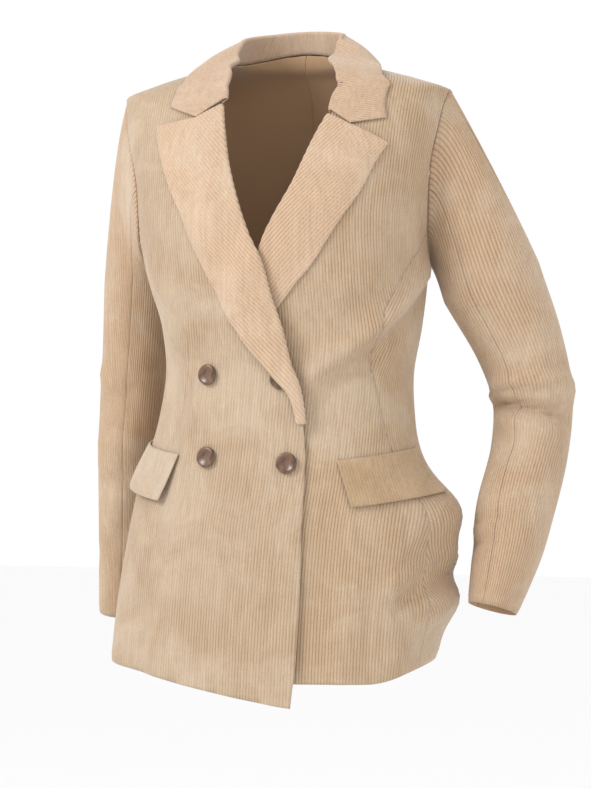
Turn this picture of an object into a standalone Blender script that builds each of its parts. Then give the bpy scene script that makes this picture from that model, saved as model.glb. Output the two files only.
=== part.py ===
"""A double breasted corduroy blazer in the hollow shape it has when it is worn.

Sizes are in millimetres and become metres where a mesh is made. +Z is up, the front faces -Y and the
wearer's left is +X. The origin is the middle of the neck, level with the points where the shoulder
seams meet the collar, because the coat hangs from the wearer's shoulders there.

The body pieces are walls on one common form. A place on the form is an angle round the body, with 0 at
the centre front, 90 at the wearer's left side and 180 at the centre back, and a height. A piece that
lies on another is made from the same form, further out.
"""

import math

import bmesh
import bpy
import numpy as np
from mathutils import Vector

METRES = 0.001  # one millimetre
BODY_WALL = 2.0  # corduroy of the body and sleeves
FACED_WALL = 2.4  # two layers: lapels, collar and flaps
SEAM_GAP = 0.3  # between the pieces on the two sides of a seam
NECK_GAP = 1.0  # under the stand of the collar
GORGE_GAP = 0.8  # between the collar's front end and the lapel
ROLL_AIR = 2.0  # air inside the fold of a lapel or the collar
EDGE_AIR = 1.3  # air under the free edge of a lapel or the collar

# The body of the coat: rings from the hem up to the neck.
FORM_COLUMNS = "height half_width front back shift_x shift_y turn square".split()
FORM = np.array(
    [
        [-790, 212, 134, 137, -16, 0, 8.0, 0.08],
        [-650, 201, 128, 132, -12, 0, 8.0, 0.08],
        [-560, 189, 123, 125, -7, 0, 8.0, 0.08],
        [-500, 175, 118, 114, -2, 0, 7.0, 0.08],
        [-430, 158, 114, 101, 3, 0, 6.0, 0.10],
        [-375, 152, 114, 96, 7, 0, 5.0, 0.10],
        [-320, 158, 124, 100, 10, 0, 3.0, 0.10],
        [-260, 169, 136, 108, 5, 0, 1.0, 0.12],
        [-200, 177, 137, 114, 0, 0, 0.0, 0.12],
        [-130, 188, 121, 116, 0, 3, 0.0, 0.12],
        [-75, 200, 101, 110, 0, 6, 0.0, 0.12],
        [-40, 203, 82, 100, 0, 8, 0.0, 0.10],
        [-26, 168, 72, 94, 0, 8, 0.0, 0.08],
        [-12, 118, 62, 84, 0, 8, 0.0, 0.04],
        [0, 71, 52, 70, 2, 8, 0.0, 0.02],
        [30, 60, 42, 60, 6, 12, 0.0, 0.02],
    ],
    float,
)

NAPE = 16.0  # height of the back neck seam above the ends of the shoulder seams

# The roll line and front edge of each front, as the angle past the centre front at each height.
OVER_EDGE = np.array(  # height, angle: the overlapping front
    [
        [-790, 22], [-757, 22.5], [-704, 24], [-600, 25], [-475, 25], [-440, 24], [-411, 22],
        [-388, 19.5], [-368, 16], [-325, 11.5], [-291, 8], [-242, 4], [-212, -0.5],
        [-172, -5], [-130, -9], [-88, -11.5], [-45, -14.5], [-27, -20], [-14, -30], [-6, -47],
        [-2, -68], [0, -90],
    ],
    float,
)  # fmt: skip
UNDER_EDGE = np.array(  # height, angle: the front that it covers
    [
        [-790, 23], [-600, 24], [-475, 24], [-430, 23], [-400, 20], [-340, 12], [-290, 5],
        [-243, -3], [-218, -6], [-191, -10], [-159, -14], [-124, -16.5], [-91, -18.8], [-74, -20.6],
        [-55, -21.8], [-33, -24.5], [-16, -32], [-6, -46], [-2, -68], [0, -90],
    ],
    float,
)  # fmt: skip
BREAKS = {"right": -434.0, "left": -418.0}  # height where each roll line starts
GORGES = {"right": -58.5, "left": -74.0}  # height where each roll line meets the collar

# Armholes: 0 at the shoulder point, 90 in front, 180 at the armpit and 270 behind.
ARMHOLES = {  # turn, angle, height
    "left": np.array(
        [
            [0, 92, -40], [30, 83, -50], [60, 79, -74], [90, 79.5, -118], [120, 85, -164],
            [150, 94, -212], [180, 108, -240], [210, 122, -232], [240, 128, -196],
            [270, 127, -150], [300, 120, -100], [330, 105, -56],
        ],
        float,
    ),
    "right": np.array(
        [
            [0, -88, -40], [30, -76, -52], [60, -70, -78], [90, -66, -116], [120, -61, -160],
            [150, -65, -204], [180, -86, -234], [210, -108, -224], [240, -119, -190],
            [270, -120, -148], [300, -114, -100], [330, -101, -56],
        ],
        float,
    ),
}  # fmt: skip
FRONT_SEAM_TURN = 145.0  # where the side seams meet the armholes
BACK_SEAM_TURN = 218.0

SEAMS = {  # height, angle of the side seams below the armhole
    ("left", "front"): np.array(
        [[-790, 80], [-606, 80], [-545, 78], [-454, 68], [-389, 60], [-359, 56], [-314, 56],
         [-270, 66]], float
    ),
    ("right", "front"): np.array(
        [[-790, -66], [-600, -66], [-450, -62], [-375, -58], [-300, -58], [-260, -61]], float
    ),
    ("left", "back"): np.array(
        [[-790, 122], [-600, 120], [-450, 117], [-375, 119], [-300, 122], [-260, 124]], float
    ),
    ("right", "back"): np.array(
        [[-790, -120], [-600, -118], [-450, -114], [-375, -113], [-300, -112], [-260, -112]], float
    ),
}  # fmt: skip

HEM = np.array(  # angle, height
    [
        [-180, -724], [-120, -714], [-66, -719], [-31, -728], [-9, -741], [10, -753], [24, -760],
        [34, -738], [56, -731], [72, -721], [99, -712], [125, -708], [150, -716], [180, -724],
    ],
    float,
)  # fmt: skip
FRONT_CORNER = -760.0  # lowest point of the overlapping front
UNDER_HEM = -737.0  # hem of the covered front

# The largest folds of the body: soft ridges (out > 0) and troughs (out < 0) along a line.
FOLDS = np.array(  # angle, height, to angle, to height, width, out
    [
        [94, -246, 22, -382, 17, 9],  # drag line from the left armpit to the buttons
        [92, -276, 34, -392, 14, -6],  # hollow under it
        [84, -330, 62, -352, 14, 3],  # second, short drag line
        [-58, -240, -30, -330, 22, 4],  # drag line from the right armpit
        [36, -520, 31, -770, 16, -4],  # hollow beside the overlapping edge
        [60, -560, 66, -760, 26, 4],  # flare of the left skirt
        [106, -598, 62, -646, 13, -8],  # pinch that the wrist makes over the left hip
        [100, -574, 58, -624, 12, 4],  # roll that hangs over it
        [-46, -540, -52, -760, 30, 4],  # flare of the right skirt
        [-150, -330, -120, -420, 26, -3],  # hollows at the back of the waist
        [150, -330, 122, -420, 26, -3],
        [-160, -500, -156, -760, 26, 5],  # flare of the back skirt
        [160, -520, 152, -760, 26, 6],
        [140, -120, 150, -260, 24, 4],  # ease over the left shoulder blade
        [-140, -120, -148, -260, 24, 4],
    ],
    float,
)
BULGES = np.array(  # angle, height, width in degrees, width in height, out
    [
        [96, -544, 28, 46, 42],  # left hip, over the hand
        [98, -640, 28, 34, 29],  # cloth under the wrist
        [100, -732, 30, 24, -10],  # hem drawn in under it
        [-84, -500, 24, 50, 6],  # right hip under the flap
    ],
    float,
)

OVER_LIFT = np.array(  # height, distance of the overlapping front from the form
    [
        [-790, 10], [-700, 8], [-560, 6], [-460, 6], [-425, 8.5], [-350, 10], [-250, 10.5],
        [-190, 8], [0, 7],
    ],
    float,
)  # fmt: skip
OVER_RAMP = 12.0  # degrees over which it rises beside the covered edge

# Lapels: angle and height of the edge from the break up to the point.
LAPEL_EDGES = {
    "right": np.array(
        [[21.5, -434], [18, -402], [11, -380], [5, -359], [-2, -337], [-10, -303], [-16, -267],
         [-22, -224], [-26, -190], [-32, -156], [-36, -126], [-38, -99], [-38, -82]], float
    ),
    "left": np.array(
        [[-20, -418], [-15, -385], [-7, -352], [2, -322], [10, -297], [17, -270], [23, -248],
         [32, -204], [40, -165], [44, -132], [48, -108]], float
    ),
}  # fmt: skip
NOTCHES = {"right": (-21, -74.5), "left": (30, -86)}  # inner ends of the notches
LAPEL_PUFF = {"right": 2.2, "left": 1.0}  # how far the middle of a lapel stands up
BUTTON_ROOM = (-382, 48, 6.4)  # height, reach and depth of the room for the button under the lapel

# The collar from its right to its left front end: neck seam, fold and free edge.
COLLAR = np.array(  # seam angle, seam height, fold angle, fold height, edge angle, edge height
    [
        [-13, -57, -11.5, -51.5, -33, -59],
        [-14, -42, -13, -36, -32, -46],
        [-19, -27, -18, -18, -33, -34],
        [-29, -14, -31, -5, -41, -23],
        [-45, -6, -54, 6, -54, -14.5],
        [-68, -2, -74, 18, -72, -10],
        [-90, 0, -92, 27, -91, -9],
        [-112, 0, -112, 33, -109, -9],
        [-135, 0, -135, 37, -131, -9.5],
        [-158, 0, -158, 40, -156, -13],
        [180, 0, 180, 41, 180, -18],
        [158, 0, 158, 40, 157, -14],
        [135, 0, 135, 37, 133, -11],
        [112, 0, 112, 33, 109, -10.5],
        [90, 0, 92, 28, 91, -11.5],
        [68, -2, 74, 20, 73, -14.5],
        [46, -6, 54, 6, 57, -21],
        [31, -16, 33, -8, 47, -30],
        [24, -33, 23.5, -25, 43, -42],
        [21, -55, 20.2, -48, 42, -59],
        [20.6, -74, 19.2, -70, 44, -79],
    ],
    float,
)
COLLAR_PUFF = 3.0  # how far the fall stands up between its fold and its edge
END_PUFF = 0.25  # the share of it at the front ends
BRIDGE_PUFF = 1.4  # the share of it over the shoulders
PUFF_TILT = np.array([0, 0, 0.3])
FRONT_END = 3  # rows of the table over which a front end changes into the rest
HUGGING_END = 2  # rows at each front end that lie flat on the front
BACK_AIR = 3.2  # under the free edge where it goes round the shoulders and the back
STAND_LEAN = 0.4  # how much the foot of the stand follows the coat it is sewn to
STAND_STEPS = 2
FALL_STEPS = 6

# Sleeves: rings from the biceps to the cuff.
SLEEVES = {  # x, y, z of the middle, half width across, half width front to back, heading
    "right": np.array(
        [
            [-203, 56, -262, 47, 58, 180],
            [-211, 60, -355, 44, 53, 180],
            [-218, 58, -450, 42, 49, 180],
            [-227, 73, -560, 39, 45, 180],
            [-235, 88, -671, 37, 42, 180],
        ],
        float,
    ),
    "left": np.array(
        [
            [245, 40, -266, 61, 47, 16],
            [272, 62, -336, 53, 46, 16],
            [287, 72, -401, 48, 47, 16],
            [286, 60, -468, 46, 47, 16],
            [276, 30, -535, 46, 46, 16],
            [270, 14, -584, 41, 46, 16],
            [256, 0, -650, 30, 48, 16],
        ],
        float,
    ),
}
# How a sleeve leaves the armhole (reach, rise) and how it arrives below the cap (pull, slip).
CAPS = {  # turn, reach, rise, pull, slip
    "right": np.array(
        [[0, 0.54, 16, 0.9, 0], [45, 0.46, 20, 0.9, 0], [90, 0.40, 36, 0.8, -6],
         [135, 0.35, 60, 0.5, -26], [180, 0.3, 90, 0.5, -32], [225, 0.4, 80, 0.6, -18],
         [270, 0.5, 34, 0.8, -2], [315, 0.48, 18, 0.9, 0]],
        float,
    ),
    "left": np.array(
        [[0, 0.66, 24, 0.9, 0], [45, 0.55, 26, 0.9, 0], [90, 0.45, 45, 0.8, 0],
         [135, 0.4, 80, 0.6, 0], [180, 0.35, 105, 0.5, 0], [225, 0.45, 80, 0.6, 0],
         [270, 0.5, 45, 0.8, 0], [315, 0.54, 24, 0.9, 0]],
        float,
    ),
}

ARM_WINDOW = 22  # turns on each side over which the direction of an armhole is read

SLEEVE_FOLDS = {  # turn, along, to turn, to along, width, out
    "left": np.array(
        [
            [150, 0.26, 10, 0.33, 14, 7],  # roll above the bend of the elbow
            [165, 0.345, 20, 0.40, 9, -10],  # crease of the elbow
            [160, 0.41, 40, 0.47, 12, 5],
            [170, 0.76, 60, 0.70, 10, -4],  # crease of the forearm
            [110, 0.04, 60, 0.24, 18, 3],
        ],
        float,
    ),
    "right": np.array(
        [
            [60, 0.05, 120, 0.32, 20, 3],
            [30, 0.46, 110, 0.36, 16, -3],
            [40, 0.58, 120, 0.48, 16, 3],
            [80, 0.80, 130, 0.66, 16, -3],
        ],
        float,
    ),
}

FLAPS = {  # angle and height of the corners: top inner, top outer, bottom outer, bottom inner
    "left": [(38, -475), (91, -461), (92, -517), (44, -530)],
    "right": [(-29, -470), (-84, -454), (-86, -508), (-33, -526)],
}
FLAP_AIR = {"left": (1.2, 4.0), "right": (1.6, 9.0)}  # under the top edge and the bottom edge

BUTTONS = {  # angle, height
    "button_upper_right": (-18, -376),
    "button_upper_left": (13.5, -381),
    "button_lower_right": (-14, -473),
    "button_lower_left": (18, -479),
}
BUTTON_SEAT = 0.5
BUTTON_TURNS = 20
BUTTON_PROFILE = [  # distance from the axis, height above the cloth: dish, rim, back, thread shank
    (0.0, 3.9), (6.6, 4.1), (8.6, 5.0), (10.4, 5.4), (12.0, 4.6), (12.5, 3.2), (11.2, 1.8),
    (2.4, 1.4), (2.4, 0.0), (0.0, 0.0),
]  # fmt: skip

FRONT_COLUMNS = 12
SIDE_COLUMNS = 5
SHOULDER_COLUMNS = 6  # columns of a back that end on the shoulder seam
SKIRT_ROWS = 18  # below the armholes
ARM_ROWS = 9  # beside the armholes
LAPEL_ROWS = 12
LAPEL_COLUMNS = 8
ROLL_STEPS = 4  # round the fold of a lapel or the collar
CAP_ROWS = 6
CAP_SPACING = 1.25  # above 1 the rows of a cap lie closer together beside the armhole
TUBE_ROWS = 16
FLAP_STEPS = (9, 4)
PROBE = 0.5  # step over which a direction on the form is read
ROLL_PROBE = 0.01  # the same, as a share of the length of a roll line or a sleeve
PLACE_ROUNDS = 8  # times that a place on the form is refined

# Mean sizes, used to turn millimetres into degrees and shares.
MEAN_RADIUS = 150.0
PANEL_WIDTH, PANEL_LENGTH = 150.0, 600.0
LAPEL_LENGTH = 400.0
LAPEL_EASE = 80.0
SLEEVE_WIDTH, SLEEVE_LENGTH = 200.0, 400.0
TURN_SIZE = 0.9
HEM_LEVEL = -720


# ---- curves -------------------------------------------------------------------------------------


def through(table, at_value, column=1):
    """A smooth curve through one column of a table, with no overshoot between its rows."""
    at, value = table[:, 0], table[:, column]
    x = np.asarray(at_value, float)
    step = np.diff(at)
    slope = np.diff(value) / step
    tangent = np.zeros_like(value)
    first, second = 2 * step[1:] + step[:-1], step[1:] + 2 * step[:-1]
    rising = slope[:-1] * slope[1:] > 0
    below, above = np.where(rising, slope[:-1], 1), np.where(rising, slope[1:], 1)
    tangent[1:-1] = np.where(rising, (first + second) / (first / below + second / above), 0)
    tangent[0], tangent[-1] = slope[0], slope[-1]
    k = np.clip(np.searchsorted(at, x) - 1, 0, len(step) - 1)
    h = step[k]
    t = np.clip((x - at[k]) / h, -0.5, 1.5)
    return (
        value[k] * (1 + 2 * t) * (1 - t) ** 2
        + h * tangent[k] * t * (1 - t) ** 2
        + value[k + 1] * t * t * (3 - 2 * t)
        + h * tangent[k + 1] * t * t * (t - 1)
    )


def spline(p0, p1, p2, p3, t):
    """A smooth curve from p1 to p2 that knows its neighbours."""
    return 0.5 * (
        2 * p1
        + (p2 - p0) * t
        + (2 * p0 - 5 * p1 + 4 * p2 - p3) * t**2
        + (3 * p1 - p0 - 3 * p2 + p3) * t**3
    )


def round_and_round(table, turn):
    """Every column after the first of a table that repeats each 360 degrees of its first column."""
    turn = np.mod(np.asarray(turn, float), 360)
    rows = len(table)
    place = np.interp(turn, np.append(table[:, 0], 360), np.arange(rows + 1))
    k = np.floor(place).astype(int)
    near = [table[(k + j) % rows, 1:] for j in (-1, 0, 1, 2)]
    return spline(*near, (place - k)[..., None])


def smooth_rows(table, share):
    """All columns of a table at a share, 0 to 1, of its length."""
    place = np.asarray(share, float) * (len(table) - 1)
    k = np.clip(np.floor(place).astype(int), 0, len(table) - 2)
    ends = np.vstack([2 * table[0] - table[1], table, 2 * table[-1] - table[-2]])
    near = [ends[k + j] for j in range(4)]
    return spline(*near, (place - k)[..., None])


def ease(t):
    """0 to 1 with level ends."""
    t = np.clip(t, 0, 1)
    return t * t * (3 - 2 * t)


def unit(v):
    return v / np.linalg.norm(v, axis=-1, keepdims=True)


def edge_of(points):
    """A function that runs along a list of places as its argument goes from 0 to 1."""
    points = np.asarray(points, float)

    def at(t):
        place = np.asarray(t, float) * (len(points) - 1)
        k = np.clip(np.floor(place).astype(int), 0, len(points) - 2)
        part = (place - k)[..., None]
        return points[k] * (1 - part) + points[k + 1] * part

    return at


def patch(left, right, bottom, top):
    """Blends four edges, each a function of 0 to 1, into a function of (u, v)."""

    def at(u, v):
        u1, v1 = u[..., None], v[..., None]
        zero, one = np.zeros_like(u), np.ones_like(u)
        low = (1 - u1) * bottom(zero) + u1 * bottom(one)
        high = (1 - u1) * top(zero) + u1 * top(one)
        sides = (1 - u1) * left(v) + u1 * right(v)
        ends = (1 - v1) * bottom(u) + v1 * top(u)
        return sides + ends - (1 - v1) * low - v1 * high

    return at


# ---- the form of the body -----------------------------------------------------------------------


def ring_point(angle, height):
    """The smooth form without folds."""
    width, front, back, shift_x, shift_y, turn, square = (
        through(FORM, height, k) for k in range(1, len(FORM_COLUMNS))
    )
    a = np.radians(angle)
    s, c = np.sin(a), np.cos(a)
    x = width * s * (1 + square * c * c)
    y = -np.where(c > 0, front, back) * c * (1 + square * s * s)
    t = -np.radians(turn)
    across = x * np.cos(t) - y * np.sin(t) + shift_x
    ahead = x * np.sin(t) + y * np.cos(t) + shift_y
    return np.stack([across, ahead, height + 0 * a], -1)


def form_place(point):
    """The angle and height of the form's point that lies nearest in its own ring."""
    height = point[..., 2]
    width, front, back, shift_x, shift_y, turn, square = (
        through(FORM, height, k) for k in range(1, len(FORM_COLUMNS))
    )
    across, ahead = point[..., 0] - shift_x, point[..., 1] - shift_y
    t = np.radians(turn)
    x = across * np.cos(t) - ahead * np.sin(t)
    y = across * np.sin(t) + ahead * np.cos(t)
    depth = np.where(y < 0, front, back)
    s, c = x / width, -y / depth
    for _ in range(PLACE_ROUNDS):
        length = np.hypot(s, c)
        s, c = s / length, c / length
        s, c = x / (width * (1 + square * c * c)), -y / (depth * (1 + square * s * s))
    return np.degrees(np.arctan2(s, c)), height


def form_normal(angle, height):
    around = ring_point(angle + PROBE, height) - ring_point(angle - PROBE, height)
    upward = ring_point(angle, height + PROBE) - ring_point(angle, height - PROBE)
    return unit(np.cross(around, upward))


def fold_height(angle, height):
    """How far the folds stand out of the form."""
    out = np.zeros(np.broadcast(angle, height).shape)
    degree = math.radians(1) * MEAN_RADIUS
    for angle_0, height_0, angle_1, height_1, width, depth in FOLDS:
        run_across, run_up = (angle_1 - angle_0) * degree, height_1 - height_0
        length = math.hypot(run_across, run_up)
        across = ((angle - (angle_0 + angle_1) / 2 + 180) % 360 - 180) * degree
        up = height - (height_0 + height_1) / 2
        along = (across * run_across + up * run_up) / length
        aside = (across * run_up - up * run_across) / length
        ends = ease((length / 2 + width - np.abs(along)) / (2 * width))
        out = out + depth * ends * np.exp(-((aside / width) ** 2))
    for angle_0, height_0, angle_width, height_width, depth in BULGES:
        across = ((angle - angle_0 + 180) % 360 - 180) / angle_width
        up = (height - height_0) / height_width
        out = out + depth * np.exp(-(across**2) - up**2)
    return out


def on_coat(angle, height, out=0.0):
    """A point on the coat's outer surface, moved out along the form's normal."""
    lift = fold_height(angle, height) + out
    return ring_point(angle, height) + form_normal(angle, height) * np.asarray(lift)[..., None]


def over_lift(angle, height):
    """The distance of the overlapping front from the form."""
    covered_edge = -through(UNDER_EDGE, height)
    rise = ease((angle - covered_edge + OVER_RAMP) / OVER_RAMP)
    return through(OVER_LIFT, height) * rise


def flat(angle, height):
    return 0 * angle


# ---- making meshes ------------------------------------------------------------------------------


def collection_named(name):
    made = bpy.data.collections.new(name)
    bpy.context.scene.collection.children.link(made)
    return made


def finish(name, rgb, roughness):
    material = bpy.data.materials.new(name)
    material.use_nodes = True
    shader = material.node_tree.nodes["Principled BSDF"]
    shader.inputs["Base Color"].default_value = (*rgb, 1)
    shader.inputs["Roughness"].default_value = roughness
    return material


def cloth(name, columns, rows, point_of, wall):
    """A wall of cloth. point_of(u, v, depth) is a point under its outer surface, u and v from 0 to 1."""
    bm = bmesh.new()
    bmesh.ops.create_grid(bm, x_segments=columns, y_segments=rows, size=0.5)
    outer = bm.verts[:]
    made = bmesh.ops.extrude_face_region(bm, geom=bm.faces[:])["geom"]
    inner = [part for part in made if isinstance(part, bmesh.types.BMVert)]
    for layer, depth in ((outer, 0.0), (inner, wall)):
        place = np.array([vertex.co[:2] for vertex in layer]) + 0.5
        for vertex, point in zip(layer, point_of(place[:, 0], place[:, 1], depth)):
            vertex.co = Vector(point) * METRES
    bmesh.ops.recalc_face_normals(bm, faces=bm.faces[:])
    mesh = bpy.data.meshes.new(name)
    bm.to_mesh(mesh)
    bm.free()
    mesh.shade_smooth()
    mesh.materials.append(MATERIALS["corduroy"])
    COAT.objects.link(bpy.data.objects.new(name, mesh))


def drawn_back(share, length):
    """Moves the ends of an edge back by half a seam's gap."""
    back = SEAM_GAP / 2 / length
    return back + share * (1 - 2 * back)


def body_panel(name, left, right, bottom, top, columns, lift_of=flat):
    """A body piece from its four edges, lists of (angle, height)."""
    edges = [np.array(edge, float) for edge in (left, right, bottom, top)]
    between = patch(*[edge_of(ring_point(edge[:, 0], edge[:, 1])) for edge in edges])

    def point_of(u, v, depth):
        angle, height = form_place(between(drawn_back(u, PANEL_WIDTH), drawn_back(v, PANEL_LENGTH)))
        return on_coat(angle, height, lift_of(angle, height) - depth)

    return cloth(name, columns, len(left) - 1, point_of, BODY_WALL)


# ---- edges that neighbours share ----------------------------------------------------------------


def hem_height(angle):
    return through(HEM, angle)


def armhole(side, turn):
    """Angle and height of an armhole at a turn."""
    return round_and_round(ARMHOLES[side], turn)


def arm_turns():
    """The turns of the points that the body panels and the sleeves share on an armhole."""
    front = np.linspace(0, FRONT_SEAM_TURN, ARM_ROWS + 1)
    under = np.linspace(FRONT_SEAM_TURN, BACK_SEAM_TURN, SIDE_COLUMNS + 1)
    back = np.linspace(BACK_SEAM_TURN, 360, ARM_ROWS + 1)
    return front, under, back


def seam_places(side, half):
    """Places up a side seam from the hem to the armhole."""
    top = armhole(side, FRONT_SEAM_TURN if half == "front" else BACK_SEAM_TURN)
    table = np.vstack([SEAMS[side, half], [top[1], top[0]]])
    bottom = float(hem_height(through(table, HEM_LEVEL)))
    heights = np.linspace(bottom, top[1], SKIRT_ROWS + 1)
    return [(float(through(table, h)), float(h)) for h in heights]


def arm_places(side, half):
    """Places up an armhole from the side seam to the shoulder point."""
    front, _, back = arm_turns()
    turns = front[::-1] if half == "front" else back
    return [tuple(armhole(side, t)) for t in turns[1:]]


def hem_places(first, last, count):
    return [(a, float(hem_height(a))) for a in np.linspace(first, last, count + 1)]


def shoulder_seam(side, count):
    """Places along a shoulder seam from the armhole to the neck."""
    angle, height = armhole(side, 0)
    neck = 90.0 if side == "left" else -90.0
    return [(angle + (neck - angle) * t, height * (1 - t)) for t in np.linspace(0, 1, count + 1)]


def roll_heights(side):
    return np.linspace(BREAKS[side], GORGES[side], LAPEL_ROWS + 1)


def edge_place(side, height):
    """The place of a front's edge, roll line or neck edge at a height."""
    if side == "right":
        return float(through(OVER_EDGE, height)), float(height)
    return -float(through(UNDER_EDGE, height)), float(height)


def neck_heights(side):
    """Heights of the front neck edge from the gorge to the shoulder seam."""
    if side == "right":
        return [row[1] for row in COLLAR if -90 <= row[0] < 0]
    return [row[1] for row in COLLAR[::-1] if 0 < row[0] <= 90]


def front_edge(side, bottom):
    """Places up a front edge, roll line and neck edge."""
    neck = neck_heights(side)[1:]
    below = SKIRT_ROWS + ARM_ROWS - LAPEL_ROWS - len(neck)
    low = np.linspace(bottom, BREAKS[side], below + 1)[:-1]
    heights = np.concatenate([low, roll_heights(side), neck])
    return [edge_place(side, h) for h in heights]


def nape_height(angle):
    return NAPE * float(ease((abs(angle) - 90) / 90))


# ---- the body -----------------------------------------------------------------------------------


def build_fronts():
    """The wearer's right front laps over the left one."""
    side = seam_places("right", "front") + arm_places("right", "front")
    edge = front_edge("right", FRONT_CORNER)
    hem = hem_places(side[0][0], edge[0][0], FRONT_COLUMNS)
    top = shoulder_seam("right", FRONT_COLUMNS)
    body_panel("front_right", side, edge, hem, top, FRONT_COLUMNS, over_lift)

    side = seam_places("left", "front") + arm_places("left", "front")
    edge = front_edge("left", UNDER_HEM)
    hem = hem_places(edge[0][0], side[0][0], FRONT_COLUMNS)
    hem = [(angle, max(height, UNDER_HEM)) for angle, height in hem]
    top = shoulder_seam("left", FRONT_COLUMNS)[::-1]
    body_panel("front_left", edge, side, hem, top, FRONT_COLUMNS)


def build_sides():
    """The side panels, under the arms."""
    turns = arm_turns()[1]
    for side in ("left", "right"):
        front, back = seam_places(side, "front"), seam_places(side, "back")
        top = [tuple(armhole(side, t)) for t in turns]
        hem = hem_places(front[0][0], back[0][0], SIDE_COLUMNS)
        if side == "left":
            body_panel("side_left", front, back, hem, top, SIDE_COLUMNS)
        else:
            body_panel("side_right", back, front, hem[::-1], top[::-1], SIDE_COLUMNS)


def back_top(side, sign):
    """Places along the shoulder seam and the back of the neck to the centre back."""
    angles = sorted({abs(row[0]) for row in COLLAR if abs(row[0]) > 90})
    neck = [(sign * a, nape_height(a)) for a in angles]
    return shoulder_seam(side, SHOULDER_COLUMNS) + neck


def build_backs():
    """The two halves of the back, joined by the centre back seam."""
    for side, sign in (("left", 1), ("right", -1)):
        outer = seam_places(side, "back") + arm_places(side, "back")
        low = np.linspace(float(hem_height(180)), outer[SKIRT_ROWS][1], SKIRT_ROWS + 1)
        high = np.linspace(low[-1], NAPE, ARM_ROWS + 1)[1:]
        centre = [(sign * 180.0, float(h)) for h in np.concatenate([low, high])]
        top = back_top(side, sign)
        columns = len(top) - 1
        hem = hem_places(outer[0][0], sign * 180.0, columns)
        if side == "left":
            body_panel("back_left", outer, centre, hem, top, columns)
        else:
            body_panel("back_right", centre, outer, hem[::-1], top[::-1], columns)


# ---- lapels and collar --------------------------------------------------------------------------


def turned(base, away, normal, air, share, depth):
    """A point on the way round a fold, from the end of one layer (share 0) to the top of the next."""
    radius = (FACED_WALL + air / 2 - depth)[..., None]
    turn = (np.pi * (share - 0.5))[..., None]
    centre = base + normal * (air / 2)[..., None]
    return centre + radius * (np.cos(turn) * away + np.sin(turn) * normal)


def lapel_air(side, height, share):
    """Air under a lapel, from its roll (share 0) to its free edge (share 1)."""
    puff = LAPEL_PUFF[side] * np.sin(np.pi * share) * ease((height - BREAKS[side]) / LAPEL_EASE)
    air = ROLL_AIR * (1 - share) + EDGE_AIR * share + puff
    if side == "right":
        at, reach, depth = BUTTON_ROOM
        air = air + depth * np.exp(-(((height - at) / reach) ** 2))
    return air


def build_lapel(side):
    """A lapel: it turns out along the roll line and lies on its front."""
    sign = 1 if side == "right" else -1  # which way is away from the front at its edge
    lift_of = over_lift if side == "right" else flat
    roll = edge_of([edge_place(side, h) for h in roll_heights(side)])
    low, high = roll(np.array(0.0)), roll(np.array(1.0))
    notch, point = NOTCHES[side], LAPEL_EDGES[side][-1]
    top = edge_of([high, (np.array(high) + notch) / 2, notch, (np.array(notch) + point) / 2, point])
    bottom = edge_of([low, LAPEL_EDGES[side][0]])
    place = patch(roll, lambda v: smooth_rows(LAPEL_EDGES[side], v), bottom, top)
    first = ROLL_STEPS / (ROLL_STEPS + LAPEL_COLUMNS)

    def point_of(u, v, depth):
        if side == "right":
            u = 1 - u
        v = drawn_back(v, LAPEL_LENGTH)
        along = roll(v)
        lift = lift_of(along[:, 0], along[:, 1])
        base = on_coat(along[:, 0], along[:, 1], lift)
        normal = form_normal(along[:, 0], along[:, 1])
        near = roll(np.minimum(v + ROLL_PROBE, 1))
        back = roll(np.maximum(v - ROLL_PROBE, 0))
        tangent = unit(
            on_coat(near[:, 0], near[:, 1], lift) - on_coat(back[:, 0], back[:, 1], lift)
        )
        away = unit(np.cross(tangent, normal)) * sign
        base = base + away * SEAM_GAP / 2
        air = lapel_air(side, along[:, 1], 0.0)
        rolled = turned(base, away, normal, air, np.clip(u / first, 0, 1), depth)
        share = np.clip((u - first) / (1 - first), 0, 1)
        where = place(share, v)
        height = where[:, 1]
        out = lift_of(where[:, 0], height) + lapel_air(side, height, share) + FACED_WALL - depth
        lying = on_coat(where[:, 0], height, out)
        return np.where((u <= first + 1e-6)[:, None], rolled, lying)

    cloth("lapel_" + side, ROLL_STEPS + LAPEL_COLUMNS, LAPEL_ROWS, point_of, FACED_WALL)


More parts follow.
